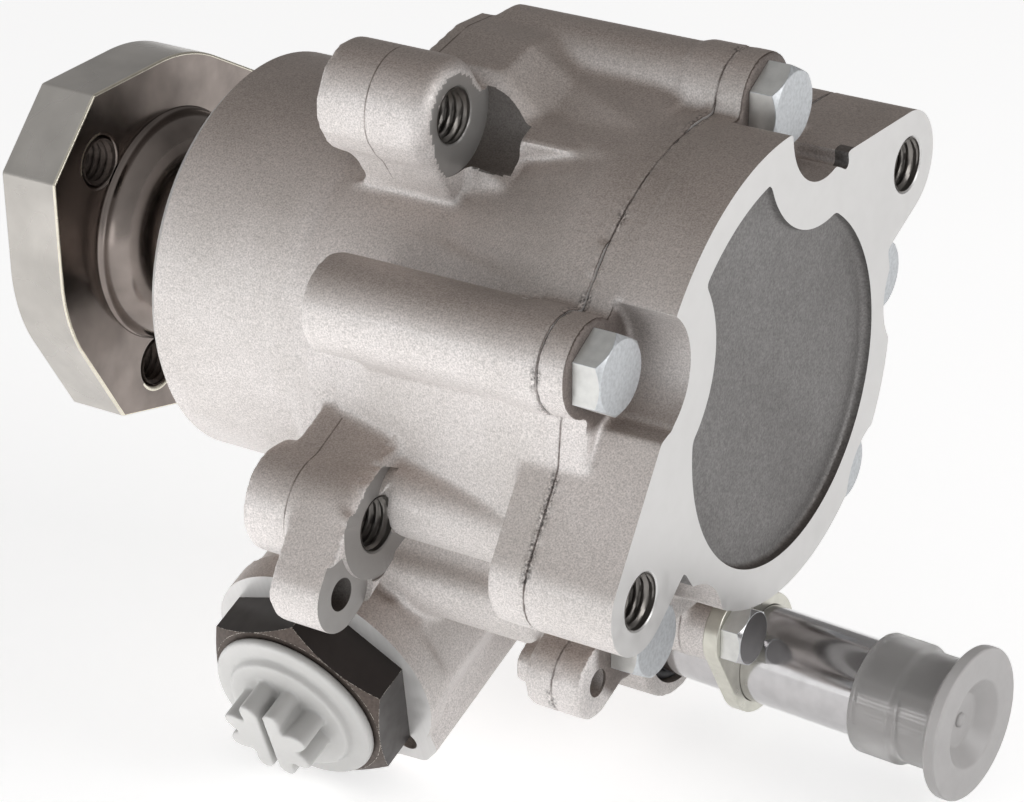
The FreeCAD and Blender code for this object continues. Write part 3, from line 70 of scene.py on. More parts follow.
EAR_A, EAR_B, EAR_C = (42.5, 25.8), (-48.8, -21.7), (-22.8, 44.5)
LUG_E, LUG_F, LOWER_BAR = (-58.8, -31.2), (-43.0, -43.2), (-42.0, -18.7)
BOLTS = [around(MIDDLE, 48.3, angle) for angle in (76.3, 158.2, 229.2, 319.7, 3.5)]
HUB_HOLES = [around((0, 0), 27.6, angle) for angle in (137.2, 257.2, 17.2)]
SUCTION_BOLT = (-0.2, -52.2)
TILT = math.radians(21.4)
VALVE_ACROSS = Vector((1, 0, 0))
VALVE_OUT = Vector((0, -math.cos(TILT), -math.sin(TILT)))
VALVE_UP = Vector((0, -math.sin(TILT), math.cos(TILT)))
VALVE_FOOT = Vector((-70.5, 39.8 * math.sin(TILT), -39.8 * math.cos(TILT)))
BOSS_FACE, BLOCK_FACE, UNION_FACE = 59.5, 58.1, 68.5
GALLERY = VALVE_FOOT + Vector((14, 0, 0)) - VALVE_UP * 14.4
SWING = math.radians(-4)
TUBE_OUT = Vector((math.cos(SWING), math.sin(SWING), 0))
TUBE_FOOT = Vector((-9.0, 11.5, -61.7))


# Mesh helpers; sizes are in millimetres.

def new_object(name, mesh):
    obj = bpy.data.objects.new(name, mesh)
    scene.collection.objects.link(obj)
    return obj


def mesh_from(name, points, faces, smooth=True):
    mesh = bpy.data.meshes.new(name)
    mesh.from_pydata([tuple(Vector(p) * MM) for p in points], [], faces)
    if smooth:
        mesh.polygons.foreach_set("use_smooth", [True] * len(mesh.polygons))
    work = bmesh.new()
    work.from_mesh(mesh)
    bmesh.ops.recalc_face_normals(work, faces=work.faces)
    work.to_mesh(mesh)
    work.free()
    return new_object(name, mesh)


def turned(name, axis, foot, profile, steps=64):
    """A closed piece turned about an axis; the profile is (along, radius)."""
    axis = Vector(axis).normalized()
    foot = Vector(foot)
    side = axis.orthogonal().normalized()
    other = axis.cross(side)
    points, faces, rings = [], [], []
    for along, radius in profile:
        if radius <= 1e-6:
            rings.append([len(points)])
            points.append(foot + axis * along)
            continue
        ring = []
        for step in range(steps):
            turn = 2 * math.pi * step / steps
            ring.append(len(points))
            points.append(foot + axis * along + (side * math.cos(turn) + other * math.sin(turn)) * radius)
        rings.append(ring)
    for first, second in zip(rings, rings[1:] + rings[:1]):
        for step in range(steps):
            after = (step + 1) % steps
            corners = []
            for corner in (first[step % len(first)], first[after % len(first)],
                           second[after % len(second)], second[step % len(second)]):
                if corner not in corners:
                    corners.append(corner)
            if len(corners) > 2:
                faces.append(corners)
    return mesh_from(name, points, faces)


def bar(name, start, end, radius, y, z):
    """A round bar along the shaft's direction."""
    return turned(name, (1, 0, 0), (0, y, z), [(start, 0), (start, radius), (end, radius), (end, 0)])


def block(name, low, high):
    points = [(x, y, z) for x in (low[0], high[0]) for y in (low[1], high[1]) for z in (low[2], high[2])]
    faces = [(0, 1, 3, 2), (4, 6, 7, 5), (0, 4, 5, 1), (2, 3, 7, 6), (0, 2, 6, 4), (1, 5, 7, 3)]
    return mesh_from(name, points, faces, smooth=False)


def between(name, first, last):
    """A flat-sided piece between two outlines with as many corners."""
    count = len(first)
    faces = [tuple(range(count)), tuple(range(count, 2 * count))]
    faces += [(i, (i + 1) % count, count + (i + 1) % count, count + i) for i in range(count)]
    return mesh_from(name, first + last, faces, smooth=False)


def prism(name, foot, across, up, out, corners, start, end):
    """A straight-sided piece: corners are (across, up), drawn out from start to end."""
    outline = [foot + across * a + up * b for a, b in corners]
    return between(name, [point + out * start for point in outline],
                   [point + out * end for point in outline])


def band(name, start, end, inner, outer, first, last, inner_end=None, outer_end=None, steps=24):
    """A stretch of a ring about the middle of the casting, between two angles."""
    points, faces = [], []
    for step in range(steps + 1):
        angle = first + (last - first) * step / steps
        for x, radius in ((start, inner), (start, outer), (end, outer_end or outer),
                          (end, inner_end or inner)):
            points.append((x, *around(MIDDLE, radius, angle)))
    for step in range(steps):
        for side in range(4):
            a, b = 4 * step + side, 4 * step + (side + 1) % 4
            faces.append((a, b, b + 4, a + 4))
    faces += [(0, 1, 2, 3), tuple(4 * steps + side for side in range(4))]
    return mesh_from(name, points, faces)


def wall(name, start, end, first, last):
    """A wall whose outline changes from the first one to the last; corners are (y, z)."""
    return between(name, [(start, *corner) for corner in first], [(end, *corner) for corner in last])


def thread(start, end, crest, root, flare, y, z):
    """The wall of a threaded hole along the shaft's direction: a spiral of ridges with a plain outside."""
    axis = Vector((1, 0, 0))
    foot = Vector((0, y, z))
    side = axis.orthogonal().normalized()
    other = axis.cross(side)
    pitch, steps, rows_a_turn = 1.5, 48, 8
    rows = int((end - start) / pitch * rows_a_turn)
    points, faces = [], []
    for row in range(rows + 1):
        along = start + (end - start) * row / rows
        opening = max(0.0, along - (end - flare))
        for step in range(steps):
            phase = (along / pitch + step / steps) % 1.0
            ridge = min(1.0, max(0.0, 1.6 * (1 - abs(2 * phase - 1)) - 0.3))
            radius = min(root, root - (root - crest) * ridge + opening)
            turn = 2 * math.pi * step / steps
            points.append(foot + axis * along + (side * math.cos(turn) + other * math.sin(turn)) * radius)
    for along in (end, start):
        for step in range(steps):
            turn = 2 * math.pi * step / steps
            points.append(foot + axis * along
                          + (side * math.cos(turn) + other * math.sin(turn)) * (root + 0.03))
    total = rows + 3
    for row in range(total):
        for step in range(steps):
            after = (step + 1) % steps
            below = (row + 1) % total
            faces.append((row * steps + step, row * steps + after, below * steps + after,
                          below * steps + step))
    return mesh_from("thread", points, faces)


def apply_modifiers(obj):
    """Give the piece the mesh that its modifiers make."""
    graph = bpy.context.evaluated_depsgraph_get()
    mesh = bpy.data.meshes.new_from_object(obj.evaluated_get(graph))
    old = obj.data
    obj.modifiers.clear()
    obj.data = mesh
    bpy.data.meshes.remove(old)
    return obj


def join(objs, name):
    """Several pieces in one mesh; each keeps its own materials."""
    mesh = bpy.data.meshes.new(name)
    work = bmesh.new()
    slots = []
    for obj in objs:
        offset = len(slots)
        slots += list(obj.data.materials)
        start = len(work.faces)
        work.from_mesh(obj.data)
        work.faces.ensure_lookup_table()
        for face in work.faces[start:]:
            face.material_index += offset
        bpy.data.objects.remove(obj)
    work.to_mesh(mesh)
    work.free()
    for material in slots:
        mesh.materials.append(material)
    return new_object(name, mesh)


def cut(obj, tools):
    """Machine a casting with one tool after another."""
    for tool in tools:
        step = obj.modifiers.new("cut", "BOOLEAN")
        step.operation = "DIFFERENCE"
        step.solver = "MANIFOLD"
        step.object = tool
        apply_modifiers(obj)
        bpy.data.objects.remove(tool)
    return obj


def sharpen(obj, angle=32):
    """Smooth shading with sharp edges past an angle."""
    mesh = obj.data
    mesh.polygons.foreach_set("use_smooth", [True] * len(mesh.polygons))
    mesh.set_sharp_from_angle(angle=math.radians(angle))
    mesh.update()
    return obj


def near(value, target, reach=0.06):
    return abs(value - target) < reach


def away(p, spot):
    """The distance of a place from an axis along the shaft's direction."""
    return math.hypot(p.y - spot[0], p.z - spot[1])


class Look:
    """A node material with a few shorthands."""

    def __init__(self, name, colour, metallic, roughness):
        self.material = bpy.data.materials.new(name)
        self.material.use_nodes = True
        self.tree = self.material.node_tree
        self.shader = self.tree.nodes["Principled BSDF"]
        self.set("Base Color", (*colour, 1))
        self.set("Metallic", metallic)
        self.set("Roughness", roughness)
        self.place = self.node("ShaderNodeTexCoord").outputs["Object"]
        self.normal = None

    def set(self, socket, value):
        self.shader.inputs[socket].default_value = value

    def node(self, kind, **settings):
        made = self.tree.nodes.new(kind)
        for key, value in settings.items():
            setattr(made, key, value)
        return made

    def link(self, source, target):
        self.tree.links.new(source, target)

    def noise(self, size_mm, detail=2.0, rough=0.5, stretch=None):
        """Noise whose features are about size_mm across."""
        place = self.place
        if stretch:
            mapping = self.node("ShaderNodeMapping")
            mapping.inputs["Scale"].default_value = stretch
            self.link(place, mapping.inputs["Vector"])
            place = mapping.outputs["Vector"]
        made = self.node("ShaderNodeTexNoise")
        made.inputs["Scale"].default_value = 1 / (size_mm * MM)
        made.inputs["Detail"].default_value = detail
        made.inputs["Roughness"].default_value = rough
        self.link(place, made.inputs["Vector"])
        return made.outputs["Fac"]

    def ramp(self, fac, stops):
        made = self.node("ShaderNodeValToRGB")
        line = made.color_ramp
        while len(line.elements) < len(stops):
            line.elements.new(0.5)
        for element, (spot, colour) in zip(line.elements, stops):
            element.position = spot
            element.color = (*colour, 1) if len(colour) == 3 else (colour[0],) * 3 + (1,)
        self.link(fac, made.inputs["Fac"])
        return made.outputs["Color"]

    def mix(self, fac, first, second, blend="MIX"):
        made = self.node("ShaderNodeMix", data_type="RGBA", blend_type=blend)
        for socket, value in ((made.inputs[0], fac), (made.inputs[6], first), (made.inputs[7], second)):
            if isinstance(value, (int, float)):
                socket.default_value = value
            elif isinstance(value, tuple):
                socket.default_value = (*value, 1)
            else:
                self.link(value, socket)
        return made.outputs[2]

    def math(self, operation, first, second=0.0):
        made = self.node("ShaderNodeMath", operation=operation)
        for socket, value in ((made.inputs[0], first), (made.inputs[1], second)):
            if isinstance(value, (int, float)):
                socket.default_value = value
            else:
                self.link(value, socket)
        return made.outputs[0]

    def along(self, axis):
        """The place along one axis, in metres."""
        parts = self.node("ShaderNodeSeparateXYZ")
        self.link(self.place, parts.inputs[0])
        return parts.outputs[axis]

    def fade(self, gap, inner_mm, outer_mm):
        """One where the gap is under inner_mm and nought where it is over outer_mm."""
        made = self.node("ShaderNodeMapRange")
        for socket, value in (("From Min", inner_mm * MM), ("From Max", outer_mm * MM),
                              ("To Min", 1.0), ("To Max", 0.0)):
            made.inputs[socket].default_value = value
        self.link(gap, made.inputs["Value"])
        return made.outputs[0]

    def near_station(self, station_mm, inner_mm, outer_mm):
        """One at a station along the shaft and nought beyond outer_mm from it."""
        gap = self.math("ABSOLUTE", self.math("SUBTRACT", self.along("X"), station_mm * MM))
        return self.fade(gap, inner_mm, outer_mm)

    def from_axis(self, spot):
        """The distance from an axis along the shaft's direction, in metres."""
        across = self.math("SUBTRACT", self.along("Y"), spot[0] * MM)
        up = self.math("SUBTRACT", self.along("Z"), spot[1] * MM)
        return self.math("SQRT", self.math("ADD", self.math("MULTIPLY", across, across),
                                           self.math("MULTIPLY", up, up)))

    def near_bolts(self, inner_mm, outer_mm):
        """One beside the heads of the cover bolts, fading out with the distance from their axes; the mask of
        the painted shade in the bolt pockets.
        """
        total = 0.0
        for spot in BOLTS:
            total = self.math("MAXIMUM", total, self.fade(self.from_axis(spot), inner_mm, outer_mm))
        behind = self.math("GREATER_THAN", self.along("X"), (LEDGE - 0.6) * MM)
        return self.math("MULTIPLY", total, behind)

    def bump(self, height, distance_mm, strength=1.0):
        made = self.node("ShaderNodeBump")
        made.inputs["Distance"].default_value = distance_mm * MM
        made.inputs["Strength"].default_value = strength
        self.link(height, made.inputs["Height"])
        if self.normal:
            self.link(self.normal, made.inputs["Normal"])
        self.normal = made.outputs["Normal"]
        self.link(self.normal, self.shader.inputs["Normal"])

    def colour(self, socket):
        self.link(socket, self.shader.inputs["Base Color"])

    def rough(self, socket):
        self.link(socket, self.shader.inputs["Roughness"])

    def upward(self):
        """How far a surface looks up; the mask of the painted shade on upward faces."""
        parts = self.node("ShaderNodeSeparateXYZ")
        self.link(self.node("ShaderNodeNewGeometry").outputs["Normal"], parts.inputs[0])
        return parts.outputs["Z"]


def cast_look(name, light, dark, grain=0.3, seam=True, pockets=False):
    """Sand-cast metal with the seam of the castings, darker on top by a painted shade, and with a painted
    shade in the bolt pockets when asked.
    """
    look = Look(name, light, 0.62, 0.5)
    broad = look.noise(22, 3)
    fine = look.noise(grain, 2)
    tone = look.mix(look.ramp(broad, [(0.35, (0,)), (0.68, (1,))]), light, dark)
    speck = look.ramp(fine, [(0.30, (0.74,)), (0.52, (1.0,)), (0.72, (1.22,))])
    tone = look.mix(1.0, tone, speck, "MULTIPLY")
    # Painted shade: faces that look up are darkened, standing in for the light that falls from the side and
    # below.
    top = look.ramp(look.upward(), [(0.30, (0,)), (0.90, (1,))])
    tone = look.mix(top, tone, look.mix(1.0, tone, (0.66, 0.60, 0.56), "MULTIPLY"))
    if pockets:
        # Painted shade in the bolt pockets: darker near the bolt heads, behind the ledge.
        shade = look.near_bolts(10.2, 12.1)
        tone = look.mix(shade, tone, look.mix(1.0, tone, (0.30, 0.27, 0.255), "MULTIPLY"))
    if seam:
        patch = look.ramp(look.noise(9, 2), [(0.49, (0,)), (0.55, (1,))])
        crumb = look.noise(0.55, 3)
        crumbs = look.ramp(crumb, [(0.40, (0.45,)), (0.52, (0.95,)), (0.68, (1.35,))])
        wide = look.math("MULTIPLY", look.near_station(JOINT, 0.6, 1.1), patch)
        tone = look.mix(wide, tone, look.mix(1.0, tone, crumbs, "MULTIPLY"))
        faint = look.ramp(look.noise(5, 2), [(0.36, (0.35,)), (0.56, (1,))])
        line = look.math("MULTIPLY", look.near_station(JOINT, 0.10, 0.28), faint)
        tone = look.mix(line, tone, look.mix(1.0, tone, (0.30, 0.27, 0.26), "MULTIPLY"))
        ears = look.math("GREATER_THAN", look.from_axis(MIDDLE), 40.5 * MM)
        split = look.math("MULTIPLY", look.near_station(-65.3, 0.06, 0.22), ears)
        tone = look.mix(look.math("MULTIPLY", split, faint), tone,
                        look.mix(1.0, tone, (0.35, 0.32, 0.30), "MULTIPLY"))
        look.bump(look.math("MULTIPLY", wide, crumb), 0.5, 1.0)
    look.colour(tone)
    look.rough(look.ramp(look.noise(1.2, 2), [(0.3, (0.46,)), (0.7, (0.62,))]))
    look.bump(look.noise(5, 2), 0.10, 0.5)
    look.bump(fine, 0.05, 0.9)
    return look.material


def clouded(look, cloud, low, high, tone, spread):
    """A colour that is a little darker where the noise is strong."""
    look.colour(look.mix(look.ramp(cloud, [(low, (0,)), (high, (1,))]), tone,
                         tuple(c * (1 - spread) for c in tone)))


def machined_look(name, tone, rough=0.34):
    """Milled or spot-faced aluminium with fine streaks."""
    look = Look(name, tone, 0.6, rough)
    streak = look.noise(1.0, 3, 0.6, stretch=(0.9, 0.024, 0.024))
    clouded(look, streak, 0.3, 0.7, tone, 0.06)
    look.rough(look.ramp(look.noise(3, 2), [(0.3, (rough - 0.06,)), (0.7, (rough + 0.08,))]))
    look.bump(streak, 0.01, 0.5)
    return look.material


def steel_look(name, tone, rough, metallic=1.0, grain=2.0, spread=0.12):
    """Bare or coated metal with clouds of a darker tone."""
    look = Look(name, tone, metallic, rough)
    cloud = look.noise(grain, 3)
    clouded(look, cloud, 0.35, 0.7, tone, spread)
    low = max(rough - 0.06, 0.03)
    look.rough(look.ramp(look.noise(grain * 1.7, 2), [(0.3, (low,)), (0.7, (rough + 0.07,))]))
    look.bump(cloud, 0.01, 0.5)
    return look.material


def worn_look(name, dark, bright, rough, grain=0.5):
    """A rubbed edge where bright metal shows in specks."""
    look = Look(name, dark, 0.9, rough)
    rub = look.ramp(look.noise(grain, 3), [(0.44, (0,)), (0.56, (1,))])
    look.colour(look.mix(rub, dark, bright))
    look.rough(look.ramp(look.noise(grain * 2, 2), [(0.3, (rough - 0.08,)), (0.7, (rough + 0.08,))]))
    return look.material


def soft_look(name, tone, rough, grain=0.8, translucent=0.0, spread=0.08):
    """Moulded plastic or rubber."""
    look = Look(name, tone, 0.0, rough)
    clouded(look, look.noise(grain * 6, 2), 0.35, 0.7, tone, spread)
    look.rough(look.ramp(look.noise(grain, 2), [(0.3, (rough - 0.05,)), (0.7, (rough + 0.08,))]))
    look.bump(look.noise(grain, 2), 0.012, 0.5)
    if translucent:
        look.set("Subsurface Weight", translucent)
        look.set("Subsurface Radius", (0.004, 0.004, 0.004))
        look.set("Subsurface Scale", 1.0)
    return look.material


CAST = cast_look("sand_cast_aluminium", (0.69, 0.656, 0.642), (0.60, 0.568, 0.548))
# The cover's cast look, with a painted shade in its bolt pockets.
COVER_CAST_PAINTED_SHADE = cast_look("sand_cast_cover_painted_shade", (0.69, 0.656, 0.642), (0.60, 0.568, 0.548), pockets=True)
RECESS_CAST = cast_look("rough_cast_recess", (0.215, 0.207, 0.203), (0.185, 0.177, 0.173), 0.4, seam=False)
# Painted shade: a dark copy of the cast look for the wall of the upper ear's spot face and the insides of
# the lug holes.
PAINTED_SHADE_CAST = cast_look("cast_painted_shade", (0.22, 0.205, 0.195), (0.15, 0.138, 0.13), 0.3, seam=False)
MACHINED = machined_look("milled_aluminium", (0.70, 0.69, 0.68))
SPOT = machined_look("spot_faced_aluminium", (0.33, 0.32, 0.31), 0.42)
THREAD = steel_look("cut_thread_aluminium", (0.24, 0.225, 0.21), 0.36, 0.9)
ZINC = steel_look("zinc_flats", (0.70, 0.70, 0.68), 0.34, 0.7, spread=0.14)
ZINC_TOP = steel_look("zinc_head_top", (0.60, 0.62, 0.64), 0.42, 0.6, grain=0.7, spread=0.2)
HUB_DARK = steel_look("oiled_hub_face", (0.33, 0.285, 0.26), 0.17, grain=9, spread=0.35)
HUB_RIM = steel_look("turned_hub_rim", (0.66, 0.63, 0.59), 0.27, grain=12, spread=0.2)
HUB_EDGE = steel_look("bright_hub_edge", (0.92, 0.87, 0.74), 0.25)
OXIDE = steel_look("black_oxide_flats", (0.040, 0.034, 0.032), 0.34, metallic=0.7)
OXIDE_FACE = steel_look("brown_oxide_face", (0.115, 0.092, 0.080), 0.42, metallic=0.7, grain=0.6, spread=0.3)
OXIDE_EDGE = worn_look("worn_oxide_edge", (0.07, 0.06, 0.055), (0.85, 0.80, 0.72), 0.35)
BRIGHT = steel_look("drawn_tube_steel", (0.55, 0.54, 0.545), 0.15, grain=3, spread=0.10)
PLATE = steel_look("yellowed_plate_steel", (0.66, 0.65, 0.58), 0.33)
PLAIN = steel_look("ground_steel", (0.62, 0.61, 0.60), 0.25)
CAGE = soft_look("cage_polyamide", (0.10, 0.085, 0.065), 0.45)
BRONZE = steel_look("bush_bronze_metal", (0.62, 0.42, 0.20), 0.35)
RUBBER = soft_look("seal_nitrile", (0.025, 0.025, 0.027), 0.55)
WHITE = soft_look("milky_plastic", (0.44, 0.435, 0.425), 0.38, translucent=0.15, spread=0.03)
DISC = soft_look("milky_disc_plastic", (0.52, 0.505, 0.50), 0.36, translucent=0.2, spread=0.06)
CLEAR = soft_look("frosted_plastic", (0.80, 0.79, 0.78), 0.34, grain=6, spread=0.04)
clear_shader = CLEAR.node_tree.nodes["Principled BSDF"]
clear_shader.inputs["Transmission Weight"].default_value = 0.8
clear_shader.inputs["IOR"].default_value = 1.2

FINISH = {
    "housing": CAST, "rear_cover": CAST, "pulley_hub": HUB_RIM, "cover_bolts": ZINC, "suction_bolt": ZINC,
    "pressure_union": OXIDE, "port_plug": WHITE, "suction_cap": CLEAR, "suction_tube": BRIGHT,
    "suction_flange": PLATE, "bearing_cage": CAGE, "rear_bush": BRONZE, "plate_o_ring": RUBBER,
    "cover_o_ring": RUBBER, "shaft_seal": RUBBER, "union_seal_ring": RUBBER, "suction_o_ring": RUBBER,
}
for name, node in nodes.items():
    node.data.materials.clear()
    node.data.materials.append(FINISH.get(name, PLAIN))


def stand_in(obj, node, body):
    """Let a detailed piece stand for its plain solid."""
    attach(obj, body)
    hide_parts(node)
    return obj


def roughen(obj, rows):
    """Push mesh points in and out by noise; a row is a test, the depth and the size of the lumps."""
    mesh = obj.data
    places = [vertex.co / MM for vertex in mesh.vertices]
    normals = [normal.vector.copy() for normal in mesh.vertex_normals]
    moved = []
    for p, normal in zip(places, normals):
        for test, depth, size in rows:
            if test(p):
                p = p + normal * noise.noise(p / size) * depth
                break
        moved += [p.x * MM, p.y * MM, p.z * MM]
    mesh.vertices.foreach_set("co", moved)
    mesh.update()


def remesh(obj, voxel, passes=0):
    """Fuse what overlaps into one skin, then soften it."""
    blend = obj.modifiers.new("remesh", "REMESH")
    blend.mode = "VOXEL"
    blend.voxel_size = voxel * MM
    if passes:
        soft = obj.modifiers.new("soft", "SMOOTH")
        soft.factor = 0.5
        soft.iterations = passes
    return apply_modifiers(obj)


def casting(node, voxel, moves, plugs, passes, rough=(), trims=()):
    """A copy of a cast solid with its holes filled, its edges softened and metal left for machining.

    A move is a test and the step that leaves metal, a plug fills, and a trim cuts before the softening.
    """
    mesh = nodes[node].data.copy()
    mesh.materials.clear()
    for vertex in mesh.vertices:
        for test, step in moves:
            if test(vertex.co / MM):
                vertex.co += Vector(step) * MM
                break
    body = join([new_object(node + "_raw", mesh), *plugs], node + "_casting")
    if trims:
        cut(remesh(body, voxel), trims)
    remesh(body, voxel, passes)
    roughen(body, rough)
    return body


def paint(obj, base, tests, keep=None):
    """Give each face its material: the base, or the one whose test it passes."""
    kept = [face.index for face in obj.data.polygons if keep is not None and face.material_index == keep]
    obj.data.materials.clear()
    obj.data.materials.append(base)
    for material, test in tests:
        obj.data.materials.append(material)
    for face in obj.data.polygons:
        centre = face.center / MM
        face.material_index = 0
        for index, (material, test) in enumerate(tests, start=1):
            if test(centre, face.normal):
                face.material_index = index
                break
    return kept


def ear_threads(spots, start, end):
    """The M10 threads of the ears."""
    made = []
    for spot in spots:
        liner = thread(start, end, 4.2, 4.88, 1.1, *spot)
        liner.data.materials.append(THREAD)
        made.append(liner)
    return made


def hole_with_chamfer(spot, start, face):
    """The tool for a tapped hole of an ear with its chamfered mouth."""
    radius, rim = 4.9, 5.35
    return turned("tool", (1, 0, 0), (0, *spot), [
        (start, 0), (start, radius), (face - (rim - radius), radius), (face, rim), (face + 1, rim + 1),
        (face + 1, 0)])


def at_joint(p):
    """The strip on both sides of the seam where the castings meet."""
    return near(p.x, JOINT, 1.2)


def in_recess(centre, normal):
    """The rough floor and the low walls of the recess in the rear face."""
    shallow = RECESS - 0.6 < centre.x < FACE - 0.06 and math.hypot(centre.y, centre.z) < 41.6
    return shallow and min(away(centre, spot) for spot in BOLTS) > 12.1


def make_cover():
    """The rear cover: cast skin, milled faces, bolt pockets, tapped ears and a dial inside its rim."""
    plugs = [bar("plug", JOINT - 2, LEDGE - 1.5, 5.2, y, z) for y, z in BOLTS]
    plugs += [bar("plug", JOINT - 2, FACE + 2, 6.2, *EAR_A), bar("plug", JOINT - 2, FACE + 2, 6.2, *EAR_B)]
    plugs += [bar("plug", JOINT - 2, LEDGE - 0.5, 3.4, *LUG_F), bar("plug", JOINT - 2, -4.5, 36, 0, 0)]
    cover = casting("rear_cover", 0.6, [
        (lambda p: p.x > -0.1, (2, 0, 0)),
        (lambda p: p.x < JOINT + 0.1, (-0.35, 0, 0)),
    ], plugs, 4, [(at_joint, 0.16, 1.6)])
    tools = [block("tool", (FACE, -80, -80), (FACE + 10, 80, 80)),
             block("tool", (JOINT - 10, -80, -80), (JOINT, 80, 80))]
    tools += [bar("tool", JOINT - 1, LEDGE + 5, 4.4, y, z) for y, z in BOLTS]
    tools += [hole_with_chamfer(spot, JOINT - 1, FACE) for spot in (EAR_A, EAR_B)]
    tools.append(bar("tool", JOINT - 1, LEDGE + 5, 2.55, *LUG_F))
    tools.append(bar("tool", JOINT - 1, -6, 9.4, 0, 0))
    tools.append(turned("tool", (1, 0, 0), (0, 0, 0), [
        (JOINT - 1, 32.3), (JOINT - 1, 34.5), (JOINT + 2.2, 34.5), (JOINT + 2.2, 32.3)]))
    tools += [bar("tool", JOINT - 1, JOINT + 4, 2.0, *around((0, 0), 25.6, turn)) for turn in (100, 280)]
    cut(cover, tools)
    paint(cover, COVER_CAST_PAINTED_SHADE, [
        (MACHINED, lambda c, n: near(c.x, FACE) and n.x > 0.9),
        (MACHINED, lambda c, n: near(c.x, JOINT) and n.x < -0.9),
        (MACHINED, lambda c, n: away(c, EAR_A) < 5.4 or away(c, EAR_B) < 5.4),
        (RECESS_CAST, in_recess),
    ])
    sharpen(cover)
    liners = [sharpen(liner, 40) for liner in ear_threads((EAR_A, EAR_B), JOINT + 0.2, FACE - 0.1)]
    # The dial lies in the solid rim beside the recess, 1.6 mm below the milled face, so it is out of sight.
    dial, tick_count = (34.3, 12.0), 12
    marks = [turned("dial", (1, 0, 0), (0, *dial), [(RECESS - 0.3, 2.5), (RECESS + 0.16, 2.6),
                                                    (RECESS + 0.16, 2.9), (RECESS - 0.3, 3.0)], 40)]
    for step in range(tick_count):
        turn = 2 * math.pi * step / tick_count
        reach = Vector((0, math.cos(turn), math.sin(turn)))
        side = Vector((0, -reach.z, reach.y))
        marks.append(prism("tick", Vector((RECESS - 0.2, *dial)), side, reach, Vector((1, 0, 0)),
                           [(-0.12, 1.6), (0.12, 1.6), (0.12, 2.3), (-0.12, 2.3)], 0, 0.34))
    for mark in marks:
        mark.data.materials.append(RECESS_CAST)
    return stand_in(join([cover, *liners, *marks], "cover_casting"), "rear_cover", "pump_body")


